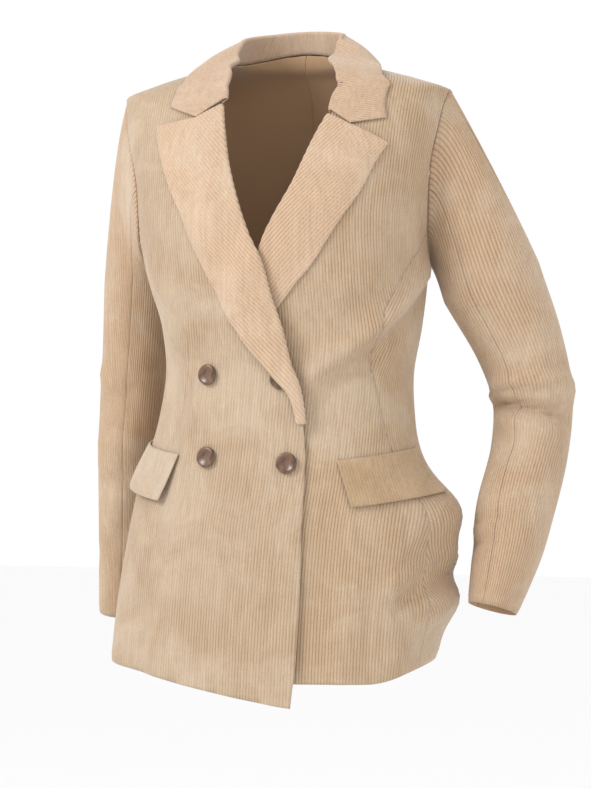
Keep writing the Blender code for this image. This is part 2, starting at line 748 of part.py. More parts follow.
def build_collar():
    """The collar: a stand on the neck seam, a fold, and a fall that lies on the shoulders."""
    rows = []
    for seam_angle, seam_height, *rest in COLLAR:
        if abs(seam_angle) > 90:
            rows.append([seam_angle, nape_height(seam_angle), *rest])
        else:
            side = "right" if seam_angle < 0 else "left"
            rows.append([*edge_place(side, seam_height), *rest])
    rows = np.array(rows)
    rows[:, 0::2] %= 360  # one way round the back of the neck

    def seam(u):
        return smooth_rows(rows[:, 0:2], u)

    def fold(u):
        return smooth_rows(rows[:, 2:4], u)

    def edge(u):
        return smooth_rows(rows[:, 4:6], u)

    steps = STAND_STEPS + ROLL_STEPS + FALL_STEPS
    stand_end, roll_end = STAND_STEPS / steps, (STAND_STEPS + ROLL_STEPS) / steps
    count = len(rows) - 1

    def frame_at(u):
        at_seam, at_fold = seam(u), fold(u)
        seam_normal = form_normal(at_seam[:, 0], at_seam[:, 1])
        low = on_coat(at_seam[:, 0], at_seam[:, 1])
        high = on_coat(at_fold[:, 0], at_fold[:, 1])
        return low, high, seam_normal

    def point_of(u, v, depth):
        low, high, seam_normal = frame_at(u)
        step = 0.5 / count
        low_a, high_a, _ = frame_at(np.maximum(u - step, 0))
        low_b, high_b, _ = frame_at(np.minimum(u + step, 1))
        upward = unit(high - low)
        around = unit(high_b - high_a)
        normal = unit(np.cross(upward, around))
        normal = normal * np.sign((normal * seam_normal).sum(-1, keepdims=True))
        upward = unit(np.cross(normal, around))
        upward = upward * np.sign((upward * (high - low)).sum(-1, keepdims=True))
        start = low + unit(high - low) * NECK_GAP
        stand_share = np.clip(v / stand_end, 0, 1)[:, None]
        lean = STAND_LEAN * (1 - stand_share)
        inner = (FACED_WALL - depth) * unit(lean * seam_normal + (1 - lean) * normal)
        stand = start + (high - start) * stand_share - inner
        air = np.full(len(u), ROLL_AIR)
        roll_share = np.clip((v - stand_end) / (roll_end - stand_end), 0, 1)
        rolled = turned(high, upward, normal, air, roll_share, depth)
        share = np.clip((v - roll_end) / (1 - roll_end), 0, 1)
        at_fold, at_edge = fold(u), edge(u)
        straight = at_fold + (at_edge - at_fold) * share[:, None]
        for end, side in ((0.0, "right"), (1.0, "left")):
            first, last = fold(np.array(end)), edge(np.array(end))
            notch = np.array([NOTCHES[side][0] % 360, NOTCHES[side][1]])
            bent = edge_of([first, (first + notch) / 2, notch, (notch + last) / 2, last])(share)
            near_end = np.clip(1 - np.abs(u - end) * count / FRONT_END, 0, 1) ** 2
            bent = bent + np.array([0, GORGE_GAP])
            straight = straight + (bent - first - (last - first) * share[:, None]) * near_end[:, None]
        puff = COLLAR_PUFF * np.sin(np.pi * share)
        wall = FACED_WALL - depth
        out = ROLL_AIR * (1 - share) + EDGE_AIR * share + wall + puff * END_PUFF
        hugging = on_coat(straight[:, 0], straight[:, 1], out)
        top = high + normal * (ROLL_AIR + wall)
        free = on_coat(at_edge[:, 0], at_edge[:, 1], BACK_AIR + wall + 0 * u)
        bridge = top + (free - top) * share[:, None]
        bridge = bridge + unit(normal + PUFF_TILT) * (puff * BRIDGE_PUFF)[:, None]
        from_end = np.minimum(u, 1 - u) * count
        blend = ease((from_end - HUGGING_END) / FRONT_END)[:, None]
        fall = hugging * (1 - blend) + bridge * blend
        result = np.where((v <= stand_end + 1e-6)[:, None], stand, rolled)
        return np.where((v > roll_end + 1e-6)[:, None], fall, result)

    cloth("collar", count, steps, point_of, FACED_WALL)


# ---- sleeves ------------------------------------------------------------------------------------


def sleeve_fold(side, turn, along):
    """How far the folds of a sleeve stand out of its rings."""
    out = np.zeros(np.broadcast(turn, along).shape)
    for turn_0, along_0, turn_1, along_1, width, depth in SLEEVE_FOLDS[side]:
        run_round, run_down = (turn_1 - turn_0) * TURN_SIZE, (along_1 - along_0) * SLEEVE_LENGTH
        length = math.hypot(run_round, run_down)
        round_it = ((turn - (turn_0 + turn_1) / 2 + 180) % 360 - 180) * TURN_SIZE
        down = (along - (along_0 + along_1) / 2) * SLEEVE_LENGTH
        with_it = (round_it * run_round + down * run_down) / length
        aside = (round_it * run_down - down * run_round) / length
        ends = ease((length / 2 + width - np.abs(with_it)) / (2 * width))
        out = out + depth * ends * np.exp(-((aside / width) ** 2))
    return out


def sleeve_ring(side, turn, along):
    """A point on the sleeve below the cap, and the sleeve's direction there."""
    turn = turn + round_and_round(CAPS[side], turn)[..., -1]
    table = SLEEVES[side]
    row = smooth_rows(table, along)
    ahead = smooth_rows(table, np.minimum(along + ROLL_PROBE, 1))[:, :3]
    behind = smooth_rows(table, np.maximum(along - ROLL_PROBE, 0))[:, :3]
    down = unit(ahead - behind)
    heading = np.radians(row[:, 5])
    outward = np.stack([np.cos(heading), np.sin(heading), 0 * heading], -1)
    outward = unit(outward - down * (outward * down).sum(-1, keepdims=True))
    forward = np.cross(down, outward)
    forward = forward * np.sign(-forward[:, 1:2])
    t = np.radians(turn)
    spoke = outward * (row[:, 3] * np.cos(t))[:, None] + forward * (row[:, 4] * np.sin(t))[:, None]
    spoke = spoke + unit(spoke) * sleeve_fold(side, turn, along)[:, None]
    return row[:, :3] + spoke, down, unit(spoke)


def cap_point(side, turn, t, depth):
    """A point of the sleeve cap, from the armhole (t 0) to the first ring (t 1)."""
    place = armhole(side, turn)
    start = on_coat(place[:, 0], place[:, 1])
    normal = form_normal(place[:, 0], place[:, 1])
    before, after = armhole(side, turn - ARM_WINDOW), armhole(side, turn + ARM_WINDOW)
    along = unit(on_coat(after[:, 0], after[:, 1]) - on_coat(before[:, 0], before[:, 1]))
    away = np.cross(normal, along) if side == "left" else np.cross(along, normal)
    middle = on_coat(*[np.full(len(turn), value) for value in ARMHOLES[side][:, 1:].mean(0)])
    away = away * np.sign(((middle - start) * away).sum(-1, keepdims=True))
    end, down, spoke = sleeve_ring(side, turn, np.zeros(len(turn)))
    distance = np.linalg.norm(end - start, axis=-1)
    reach, rise, pull, _ = round_and_round(CAPS[side], turn).T
    rise = np.radians(rise)[:, None]
    leaving = (np.cos(rise) * away + np.sin(rise) * normal) * (reach * distance)[:, None]
    arriving = down * (pull * distance)[:, None]
    t = t[:, None]
    start = start + away * SEAM_GAP / 2
    facing = unit((np.cos(rise) * normal - np.sin(rise) * away) * (1 - t) + spoke * t)
    return (
        start * (1 + 2 * t) * (1 - t) ** 2
        + leaving * t * (1 - t) ** 2
        + end * t * t * (3 - 2 * t)
        + arriving * t * t * (t - 1)
        - facing * depth
    )


def build_sleeve(side):
    """Both pieces of a sleeve. The top one goes over the shoulder, the under one under the arm."""
    front, under, back = arm_turns()
    seam_steps_front, seam_steps_back = 2, 1
    first = len(front) - 1 - seam_steps_front
    top = np.concatenate([back[seam_steps_back:-1] - 360, front[: first + 1]])
    low = np.concatenate([front[first:-1], under, back[1 : seam_steps_back + 1]])
    rows = CAP_ROWS + TUBE_ROWS
    for name, turns in (("top", top), ("under", low)):

        def point_of(u, v, depth, turns=turns):
            if side == "right":
                u = 1 - u
            turn = edge_of(turns[:, None])(drawn_back(u, SLEEVE_WIDTH))[:, 0]
            down = (1 - v) * rows
            t = np.clip(down / CAP_ROWS, 0, 1) ** CAP_SPACING
            cap = cap_point(side, turn, t, depth)
            tube, _, spoke = sleeve_ring(side, turn, np.clip((down - CAP_ROWS) / TUBE_ROWS, 0, 1))
            tube = tube - spoke * depth
            return np.where((down < CAP_ROWS)[:, None], cap, tube)

        cloth(f"sleeve_{side}_{name}", len(turns) - 1, rows, point_of, BODY_WALL)


# ---- flaps and buttons --------------------------------------------------------------------------


def build_flap(side):
    """A pocket flap, held along its top edge."""
    top_inner, top_outer, low_outer, low_inner = FLAPS[side]
    lift_of = over_lift if side == "right" else flat
    top_air, low_air = FLAP_AIR[side]
    if side == "left":
        corners = (edge_of([low_inner, top_inner]), edge_of([low_outer, top_outer]),
                   edge_of([low_inner, low_outer]), edge_of([top_inner, top_outer]))  # fmt: skip
    else:
        corners = (edge_of([low_outer, top_outer]), edge_of([low_inner, top_inner]),
                   edge_of([low_outer, low_inner]), edge_of([top_outer, top_inner]))  # fmt: skip
    place = patch(*corners)

    def point_of(u, v, depth):
        where = place(u, v)
        air = top_air * v + low_air * (1 - v)
        out = lift_of(where[:, 0], where[:, 1]) + air + FACED_WALL - depth
        return on_coat(where[:, 0], where[:, 1], out)

    cloth("pocket_flap_" + side, *FLAP_STEPS, point_of, FACED_WALL)


def build_button(name, angle, height):
    """A turned button on a short shank of thread."""
    mesh = bpy.data.meshes.new(name)
    points = [(radius * METRES, 0, rise * METRES) for radius, rise in BUTTON_PROFILE]
    mesh.from_pydata(points, [(k, k + 1) for k in range(len(points) - 1)], [])
    mesh.materials.append(MATERIALS["horn"])
    button = bpy.data.objects.new(name, mesh)
    COAT.objects.link(button)
    turn = button.modifiers.new("turn", "SCREW")
    turn.steps = turn.render_steps = BUTTON_TURNS
    turn.use_merge_vertices = True
    turn.merge_threshold = 0.00001
    where = np.array([float(angle)]), np.array([float(height)])
    normal = Vector(form_normal(*where)[0])
    button.location = Vector(on_coat(*where, over_lift(*where) + BUTTON_SEAT)[0]) * METRES
    button.rotation_mode = "QUATERNION"
    button.rotation_quaternion = normal.to_track_quat("Z", "Y")


# ---- start --------------------------------------------------------------------------------------

for old in list(bpy.data.objects):
    bpy.data.objects.remove(old)

COAT = collection_named("double_breasted_blazer")
MATERIALS = {
    "corduroy": finish("beige_corduroy", (0.60, 0.43, 0.28), 0.9),
    "horn": finish("brown_horn", (0.08, 0.045, 0.022), 0.3),
}

build_fronts()
build_sides()
build_backs()
build_collar()
for one_side in ("right", "left"):
    build_lapel(one_side)
    build_sleeve(one_side)
    build_flap(one_side)
for button_name, (button_angle, button_height) in BUTTONS.items():
    build_button(button_name, button_angle, button_height)
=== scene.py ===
"""The looks of a double breasted corduroy blazer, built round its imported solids.

Sizes are in millimetres and become metres where a mesh is made. +Z is up, the front faces -Y and the
wearer's left is +X. A place on the form of the body is an angle round it, with 0 at the centre front,
90 at the wearer's left side and 180 at the centre back, and a height.
"""

import math

import bpy
import numpy as np
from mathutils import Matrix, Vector


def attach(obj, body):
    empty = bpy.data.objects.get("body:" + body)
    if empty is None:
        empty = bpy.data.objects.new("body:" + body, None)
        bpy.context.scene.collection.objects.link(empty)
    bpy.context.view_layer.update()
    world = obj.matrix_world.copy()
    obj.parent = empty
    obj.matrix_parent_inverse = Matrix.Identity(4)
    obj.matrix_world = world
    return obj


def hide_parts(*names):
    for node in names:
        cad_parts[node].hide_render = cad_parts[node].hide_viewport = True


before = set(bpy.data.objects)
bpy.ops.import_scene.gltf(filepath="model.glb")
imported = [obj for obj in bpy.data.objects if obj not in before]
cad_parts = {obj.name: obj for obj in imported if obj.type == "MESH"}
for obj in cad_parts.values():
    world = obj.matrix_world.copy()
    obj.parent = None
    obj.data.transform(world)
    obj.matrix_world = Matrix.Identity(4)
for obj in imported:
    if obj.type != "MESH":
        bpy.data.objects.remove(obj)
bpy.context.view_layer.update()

METRES = 0.001  # one millimetre
BODY_WALL = 2.0  # corduroy of the body and sleeves
FACED_WALL = 2.4  # two layers: lapels, collar and flaps
SEAM_GAP = 0.3  # between the pieces on the two sides of a seam
NECK_GAP = 1.0  # under the stand of the collar
GORGE_GAP = 0.8  # between the collar's front end and the lapel
ROLL_AIR = 2.0  # air inside the fold of a lapel or the collar
EDGE_AIR = 1.3  # air under the free edge of a lapel or the collar


def sizes(*rows):
    """Rows of sizes, ready to be worked with."""
    return np.array(rows, float)


# The body of the coat: rings from the hem up to the neck.
FORM_COLUMNS = "height half_width front back shift_x shift_y turn square".split()
FORM = sizes(
    [-790, 212, 134, 137, -16, 0, 8.0, 0.08],
    [-650, 201, 128, 132, -12, 0, 8.0, 0.08],
    [-560, 189, 123, 125, -7, 0, 8.0, 0.08],
    [-500, 175, 118, 114, -2, 0, 7.0, 0.08],
    [-430, 158, 114, 101, 3, 0, 6.0, 0.10],
    [-375, 152, 114, 96, 7, 0, 5.0, 0.10],
    [-320, 158, 124, 100, 10, 0, 3.0, 0.10],
    [-260, 169, 136, 108, 5, 0, 1.0, 0.12],
    [-200, 177, 137, 114, 0, 0, 0.0, 0.12],
    [-130, 188, 121, 116, 0, 3, 0.0, 0.12],
    [-75, 200, 101, 110, 0, 6, 0.0, 0.12],
    [-40, 203, 82, 100, 0, 8, 0.0, 0.10],
    [-26, 168, 72, 94, 0, 8, 0.0, 0.08],
    [-12, 118, 62, 84, 0, 8, 0.0, 0.04],
    [0, 71, 52, 70, 2, 8, 0.0, 0.02],
    [30, 60, 42, 60, 6, 12, 0.0, 0.02],
)

NAPE = 16.0  # height of the back neck seam above the ends of the shoulder seams

# The roll line and front edge of each front, as the angle past the centre front at each height.
OVER_EDGE = sizes(  # height, angle: the overlapping front
    [-790, 22], [-757, 22.5], [-704, 24], [-600, 25], [-475, 25], [-440, 24], [-411, 22],
    [-388, 19.5], [-368, 16], [-325, 11.5], [-291, 8], [-242, 4], [-212, -0.5],
    [-172, -5], [-130, -9], [-88, -11.5], [-45, -14.5], [-27, -20], [-14, -30], [-6, -47],
    [-2, -68], [0, -90],
)  # fmt: skip
UNDER_EDGE = sizes(  # height, angle: the front that it covers
    [-790, 23], [-600, 24], [-475, 24], [-430, 23], [-400, 20], [-340, 12], [-290, 5],
    [-243, -3], [-218, -6], [-191, -10], [-159, -14.4], [-124, -17.6], [-91, -20.4], [-74, -22.2],
    [-55, -23.4], [-33, -26.5], [-16, -38], [-6, -54], [-2, -70], [0, -90],
)  # fmt: skip
BREAKS = {"right": -434.0, "left": -418.0}  # height where each roll line starts
GORGES = {"right": -58.5, "left": -74.0}  # height where each roll line meets the collar

# Armholes: 0 at the shoulder point, 90 in front, 180 at the armpit and 270 behind.
ARMHOLES = {  # turn, angle, height
    "left": sizes(
        [0, 92, -40], [30, 83, -50], [60, 79, -74], [90, 79.5, -118], [120, 85, -164],
        [150, 94, -212], [180, 108, -240], [210, 122, -232], [240, 128, -196],
        [270, 127, -150], [300, 120, -100], [330, 105, -56],
    ),
    "right": sizes(
        [0, -88, -40], [30, -76, -52], [60, -70, -78], [90, -66, -116], [120, -61, -160],
        [150, -65, -204], [180, -86, -234], [210, -108, -224], [240, -119, -190],
        [270, -120, -148], [300, -114, -100], [330, -101, -56],
    ),
}  # fmt: skip
FRONT_SEAM_TURN = 145.0  # where the side seams meet the armholes
BACK_SEAM_TURN = 218.0

SEAMS = {  # height, angle of the side seams below the armhole
    ("left", "front"): sizes(
        [-790, 80], [-606, 80], [-545, 78], [-454, 68], [-389, 60], [-359, 56], [-314, 56],
        [-270, 66],
    ),
    ("right", "front"): sizes(
        [-790, -66], [-600, -66], [-450, -62], [-375, -58], [-300, -58], [-260, -61],
    ),
    ("left", "back"): sizes(
        [-790, 122], [-600, 120], [-450, 117], [-375, 119], [-300, 122], [-260, 124],
    ),
    ("right", "back"): sizes(
        [-790, -120], [-600, -118], [-450, -114], [-375, -113], [-300, -112], [-260, -112],
    ),
}  # fmt: skip

HEM = sizes(  # angle, height
    [-180, -724], [-120, -714], [-66, -719], [-31, -728], [-9, -741], [10, -753], [24, -760],
    [34, -738], [56, -731], [72, -721], [99, -712], [125, -708], [150, -716], [180, -724],
)  # fmt: skip
FRONT_CORNER = -760.0  # lowest point of the overlapping front
UNDER_HEM = -732.5  # hem of the covered front, clear above the hem that covers it

# The folds of the body: soft ridges (out > 0) and troughs (out < 0) along a line.
FOLDS = sizes(  # angle, height, to angle, to height, width, out
    [94, -246, 22, -382, 17, 9],  # drag line from the left armpit to the buttons
    [92, -276, 34, -392, 14, -6],  # hollow under it
    [84, -330, 62, -352, 14, 3],  # second, short drag line
    [-58, -240, -30, -330, 22, 4],  # drag line from the right armpit
    [36, -520, 31, -770, 16, -4],  # hollow beside the overlapping edge
    [60, -560, 66, -760, 26, 4],  # flare of the left skirt
    [106, -598, 62, -646, 13, -8],  # pinch that the wrist makes over the left hip
    [100, -574, 58, -624, 12, 4],  # roll that hangs over it
    [-46, -540, -52, -760, 30, 4],  # flare of the right skirt
    [-150, -330, -120, -420, 26, -3],  # hollows at the back of the waist
    [150, -330, 122, -420, 26, -3],
    [-160, -500, -156, -760, 26, 5],  # flare of the back skirt
    [160, -520, 152, -760, 26, 6],
    [140, -120, 150, -260, 24, 4],  # ease over the left shoulder blade
    [-140, -120, -148, -260, 24, 4],
    # small creases, softer and shorter
    [84, -262, 40, -352, 8, 3.0],  # beside the drag line from the armpit
    [88, -300, 50, -378, 7, -2.6],
    [78, -240, 36, -306, 9, -2.2],
    [70, -404, 34, -392, 9, 1.8],  # across the waist
    [60, -424, 28, -432, 8, -1.6],
    [48, -470, 44, -436, 7, 1.6],
    [80, -608, 62, -646, 9, -4.5],  # mouth of the fold over the hip
    [120, -594, 92, -596, 17, 15.0],  # roll that the pinch leaves at the side
    [78, -668, 58, -712, 10, 2.2],
    [74, -560, 60, -600, 8, 1.8],
    [96, -486, 80, -520, 10, -2.4],
    [-62, -262, -38, -312, 9, -2.4],  # from the right armpit
    [-58, -296, -34, -350, 8, 2.0],
    [-60, -404, -30, -396, 10, -1.6],
    [-40, -420, -12, -410, 9, 1.4],
    [-30, -560, -24, -690, 12, -1.8],  # long soft hollows of the skirt
    [-4, -540, 2, -700, 14, 1.6],
    [46, -600, 42, -720, 10, 2.0],
    [52, -640, 50, -720, 8, -1.8],
    [170, -420, 128, -452, 10, -2.6],  # back of the waist
    [176, -396, 140, -376, 9, 2.4],
    [-172, -418, -134, -444, 10, -2.4],
    [-176, -388, -138, -372, 8, 2.2],
    [132, -212, 168, -262, 12, 2.6],  # between the shoulder blades
    [-132, -206, -166, -250, 12, 2.4],
    [150, -560, 146, -700, 14, -3.0],
    [-148, -560, -146, -690, 12, -2.6],
)
BULGES = sizes(  # angle, height, width in degrees, width in height, out
    [96, -544, 28, 46, 42],  # left hip, over the hand
    [98, -640, 28, 34, 29],  # cloth under the wrist
    [100, -732, 30, 24, -10],  # hem drawn in under it
    [-84, -500, 24, 50, 6],  # right hip under the flap
)

OVER_LIFT = sizes(  # height, distance of the overlapping front from the form
    [-790, 10], [-700, 8], [-560, 6], [-460, 6], [-425, 8.5], [-350, 10], [-250, 10.5],
    [-190, 8], [0, 7],
)  # fmt: skip
OVER_RAMP = 12.0  # degrees over which it rises beside the covered edge

# Lapels: angle and height of the edge from the break up to the point.
LAPEL_EDGES = {
    "right": sizes(
        [21.5, -434], [18, -402], [11, -380], [5, -359], [-2, -337], [-10, -303], [-16, -267],
        [-22, -224], [-26, -190], [-32, -156], [-36, -126], [-38, -99], [-38, -82],
    ),
    "left": sizes(
        [-20, -418], [-15, -385], [-7, -352], [2, -322], [10, -297], [17, -270], [23, -248],
        [32, -204], [40, -165], [44, -132], [48, -108],
    ),
}  # fmt: skip
NOTCHES = {"right": (-21, -74.5), "left": (30, -86)}  # inner ends of the notches
LAPEL_PUFF = {"right": 2.2, "left": 1.0}  # how far the middle of a lapel stands up
BUTTON_ROOM = (-382, 48, 6.4)  # height, reach and depth of the room for the button under the lapel

# The collar from its right to its left front end: neck seam, fold and free edge.
COLLAR = sizes(  # seam angle, seam height, fold angle, fold height, edge angle, edge height
    [-13, -57, -12.1, -51.5, -33, -59],
    [-14, -42, -13.6, -35.5, -32, -46],
    [-19, -27, -20.6, -17.5, -33, -34],
    [-29, -14, -39.5, -4, -41, -23],
    [-45, -6, -61.5, 7, -54, -14.5],
    [-68, -2, -79, 19, -72, -10],
    [-90, 0, -92, 27.5, -91, -9],
    [-112, 0, -112, 33, -109, -9],
    [-135, 0, -135, 37, -131, -9.5],
    [-158, 0, -158, 40, -156, -13],
    [180, 0, 180, 41, 180, -18],
    [158, 0, 158, 40, 157, -14],
    [135, 0, 135, 37, 133, -11],
    [112, 0, 112, 33, 109, -10.5],
    [90, 0, 90, 28.5, 91, -11.5],
    [68, -2, 84, 20, 73, -14.5],
    [46, -6, 73.5, 6, 57, -21],
    [31, -16, 43, -9, 47, -30],
    [24, -33, 27.8, -27, 43, -42],
    [21, -55, 23.2, -47.5, 42, -59],
    [20.6, -74, 22.2, -69.5, 44, -79],
)
COLLAR_PUFF = 3.0  # how far the fall stands up between its fold and its edge
END_PUFF = 0.25  # the share of it at the front ends
BRIDGE_PUFF = 1.4  # the share of it over the shoulders
PUFF_TILT = np.array([0, 0, 0.3])
FRONT_END = 3  # rows of the table over which a front end changes into the rest
HUGGING_END = 2  # rows at each front end that lie flat on the front
BACK_AIR = 3.2  # under the free edge where it goes round the shoulders and the back
STAND_LEAN = 0.4  # how much the foot of the stand follows the coat it is sewn to
STAND_STEPS = 2
FALL_STEPS = 6

# Sleeves: rings from the biceps to the cuff.
SLEEVES = {  # x, y, z of the middle, half width across, half width front to back, heading
    "right": sizes(
        [-203, 56, -262, 47, 58, 180],
        [-211, 60, -355, 44, 53, 180],
        [-218, 58, -450, 42, 49, 180],
        [-227, 73, -560, 39, 45, 180],
        [-235, 88, -671, 37, 42, 180],
    ),
    "left": sizes(
        [245, 40, -266, 61, 47, 16],
        [272, 62, -336, 53, 46, 16],
        [287, 72, -401, 48, 47, 16],
        [286, 60, -468, 46, 47, 16],
        [276, 30, -535, 46, 46, 16],
        [270, 14, -584, 41, 46, 16],
        [256, 0, -650, 30, 48, 16],
    ),
}
# How a sleeve leaves the armhole (reach, rise) and how it arrives below the cap (pull, slip).
CAPS = {  # turn, reach, rise, pull, slip
    "right": sizes(
        [0, 0.54, 16, 0.9, 0], [45, 0.46, 20, 0.9, 0], [90, 0.40, 36, 0.8, -6],
        [135, 0.35, 60, 0.5, -26], [180, 0.3, 90, 0.5, -32], [225, 0.4, 80, 0.6, -18],
        [270, 0.5, 34, 0.8, -2], [315, 0.48, 18, 0.9, 0],
    ),
    "left": sizes(
        [0, 0.66, 24, 0.9, 0], [45, 0.55, 26, 0.9, 0], [90, 0.45, 45, 0.8, 0],
        [135, 0.4, 80, 0.6, 0], [180, 0.35, 105, 0.5, 0], [225, 0.45, 80, 0.6, 0],
        [270, 0.5, 45, 0.8, 0], [315, 0.54, 24, 0.9, 0],
    ),
}  # fmt: skip

ARM_WINDOW = 22  # turns on each side over which the direction of an armhole is read

SLEEVE_FOLDS = {  # turn, along, to turn, to along, width, out
    "left": sizes(
        [150, 0.26, 10, 0.33, 14, 7],  # roll above the bend of the elbow
        [165, 0.345, 20, 0.40, 9, -10],  # crease of the elbow
        [160, 0.41, 40, 0.47, 12, 5],
        [170, 0.76, 60, 0.70, 10, -4],  # crease of the forearm
        [110, 0.04, 60, 0.24, 18, 3],
        # small creases
        [176, 0.352, 50, 0.398, 7, -7.0],  # crease of the elbow
        [182, 0.320, 62, 0.362, 9, 5.0],  # roll that hangs over it
        [150, 0.250, 40, 0.300, 8, 3.0],
        [140, 0.285, 56, 0.326, 6, -2.8],
        [120, 0.430, 70, 0.470, 9, 2.2],
        [160, 0.440, 110, 0.540, 8, -2.2],
        [184, 0.845, 118, 0.812, 8, -4.5],  # crease of the forearm
        [175, 0.780, 130, 0.750, 9, 2.6],
        [118, 0.050, 66, 0.190, 12, -2.6],
        [230, 0.300, 300, 0.350, 9, 3.0],  # back of the elbow
        [228, 0.350, 300, 0.400, 8, -3.0],
    ),
    "right": sizes(
        [60, 0.05, 120, 0.32, 20, 3],
        [30, 0.46, 110, 0.36, 16, -3],
        [40, 0.58, 120, 0.48, 16, 3],
        [80, 0.80, 130, 0.66, 16, -3],
        # small creases
        [20, 0.300, 100, 0.370, 10, 2.2],
        [30, 0.410, 110, 0.360, 8, -2.6],
        [36, 0.520, 120, 0.470, 9, 2.4],
        [60, 0.640, 130, 0.570, 9, -2.4],
        [70, 0.740, 120, 0.690, 8, 1.8],
        [20, 0.840, 80, 0.800, 9, -1.8],
        [60, 0.060, 110, 0.220, 12, -2.6],
        [230, 0.400, 300, 0.440, 9, -2.6],
        [226, 0.460, 300, 0.500, 9, 2.4],
    ),
}

FLAPS = {  # angle and height of the corners: top inner, top outer, bottom outer, bottom inner
    "left": [(38, -475), (91, -461), (92, -517), (44, -530)],
    "right": [(-29, -470), (-84, -454), (-86, -508), (-33, -526)],
}
FLAP_AIR = {"left": (1.2, 4.0), "right": (1.6, 9.0)}  # under the top edge and the bottom edge

BUTTONS = {  # angle, height
    "button_upper_right": (-18, -376),
    "button_upper_left": (13.5, -381),
    "button_lower_right": (-14, -473),
    "button_lower_left": (18, -479),
}
BUTTON_SEAT = 0.5
BUTTON_PROFILE = [  # distance from the axis, height above the cloth: dish, rim, back, thread shank
    (0.0, 3.9), (6.6, 4.1), (8.6, 5.0), (10.4, 5.4), (12.0, 4.6), (12.5, 3.2), (11.2, 1.8),
    (2.4, 1.4), (2.4, 0.0), (0.0, 0.0),
]  # fmt: skip

FRONT_COLUMNS = 48
SIDE_COLUMNS = 20
SHOULDER_COLUMNS = 24  # columns of a back that end on the shoulder seam
SKIRT_ROWS = 72  # below the armholes
ARM_ROWS = 36  # beside the armholes
LAPEL_ROWS = 48
LAPEL_COLUMNS = 8
ROLL_STEPS = 4  # round the fold of a lapel or the collar
CAP_ROWS = 6
CAP_SPACING = 1.25  # above 1 the rows of a cap lie closer together beside the armhole
TUBE_ROWS = 16
PROBE = 0.5  # step over which a direction on the form is read
ROLL_PROBE = 0.01  # the same, as a share of the length of a roll line or a sleeve
PLACE_ROUNDS = 8  # times that a place on the form is refined

# Mean sizes, used to turn millimetres into degrees and shares.
MEAN_RADIUS = 150.0
LAPEL_LENGTH = 400.0
LAPEL_EASE = 80.0
SLEEVE_LENGTH = 400.0
TURN_SIZE = 0.9
HEM_LEVEL = -720


# ---- sizes that only the looks need ------------------------------------------------------------

# Mesh of the corduroy.
WALE = 3.7  # from one rib of the corduroy to the next
STEPS_PER_WALE = 4
WALE_ROUND = 0.75  # below 1 the ribs are fuller than half a wave
WALE_RISE = 0.6  # how far a rib stands above the groove beside it
ROW_SIZE = 9.0  # length of the mesh along a rib
SEAM_GROOVE, SEAM_WIDTH = 1.1, 1.6  # depth and width of the dent along a seam
EDGE_GROOVE, EDGE_WIDTH = 0.9, 1.2  # the same where an edge is turned in
ARC_STEP = 1.0  # degrees between the columns of an arc's table
ARC_ROW = 3.0  # height between its rows
BISECTIONS = 18  # halvings that find an angle from a distance
# Heights at which the mesh of a body piece may change its columns.
BANDS = np.concatenate([np.arange(-800, -88, 9), np.arange(-84, -40, 6), np.arange(-40, -16, 3),
                        np.arange(-16, 22, 2)]).astype(float)  # fmt: skip
BAND_SAMPLES = 3  # points that measure the length of a column in a band
MERGE = 0.01  # points of neighbouring bands that lie nearer than this are one point
SNAP = 1.3  # steps of the mesh over which its rim is drawn to the outline
TINY = 1e-12  # keeps a length from being zero

LAPEL_SLOPE = 47.0  # of the ribs of a lapel, in degrees from level
LAPEL_MESH = {"right": (110, 300), "left": (100, 280)}  # columns, rows
COLLAR_MESH = (560, 40)
SLEEVE_MESH = {"top": (216, 66), "under": (112, 66)}
FLAP_MESH = (148, 26)
COLLAR_LEVEL = 30  # row of the collar along which the ribs of the collar are counted

DARTS = {  # angle and height along the dart of each front
    "right": [(-32, -335), (-33.5, -375), (-35, -417), (-37, -462)],
    "left": [(30.5, -350), (32, -374), (34, -392), (40, -439), (40, -476)],
}
LEANS = {  # height, how far the ribs of a side panel are shifted round the form
    "left": sizes([-790, -120], [-700, -72], [-620, -30], [-540, -4], [-470, 2], [-400, 0],
                  [-320, -22], [-240, -62]),
    "right": sizes([-790, 40], [-650, 18], [-520, 4], [-420, 0], [-320, 12], [-240, 34]),
}  # fmt: skip
SIDE_MIDDLES = {"left": 98.0, "right": -90.0}
TOP_SHARE = 7 / 9  # of the front of an armhole, down to the front seam of the sleeve
FRONT_REACH = 135.0  # degrees that the ribs of a front or a back are laid out over
SIDE_REACH = 75.0
BACK_SEAM = 179.99  # degrees to which the centre back edges are held
BUTTON_STEPS = 48  # round the visible button
BUTTON_WELD = 0.00001  # metres

# Nap and colour.
PATCHES = 11.0  # patches of brushed pile with painted sheen, per metre
GROOVE_SHEEN_SHARE = 0.75  # how far the brushed patches, with their painted sheen, lighten the grooves
STREAK_SCALE = (260.0, 260.0, 14.0)  # streaks along the ribs, per metre
GRAIN = 1400.0  # tufts of the pile, per metre
BACKING = "#b09070"  # the inside of the cloth

# The room, in metres: name, place, size and power of each lamp.
LAMPS = [
    ("key", (-1.9, -2.4, 1.3), 1.2, 64),
    ("fill", (2.4, -2.4, 0.4), 2.2, 20),
]
TARGET = (0.01198, 0.00389, -0.3984)
CAMERA = (1.0626, -3.2297, -0.3984)
LENS, SENSOR = 129.4, 36.0
LAMP_AIM = (0, 0, -0.38)
FLOOR_SIZE, FLOOR_LEVEL = 30, -1.6


# ---- curves -------------------------------------------------------------------------------------


def between(start, leaving, end, arriving, t):
    """A smooth curve between two places with a given direction at each."""
    return (
        start * (1 + 2 * t) * (1 - t) ** 2
        + leaving * t * (1 - t) ** 2
        + end * t * t * (3 - 2 * t)
        + arriving * t * t * (t - 1)
    )


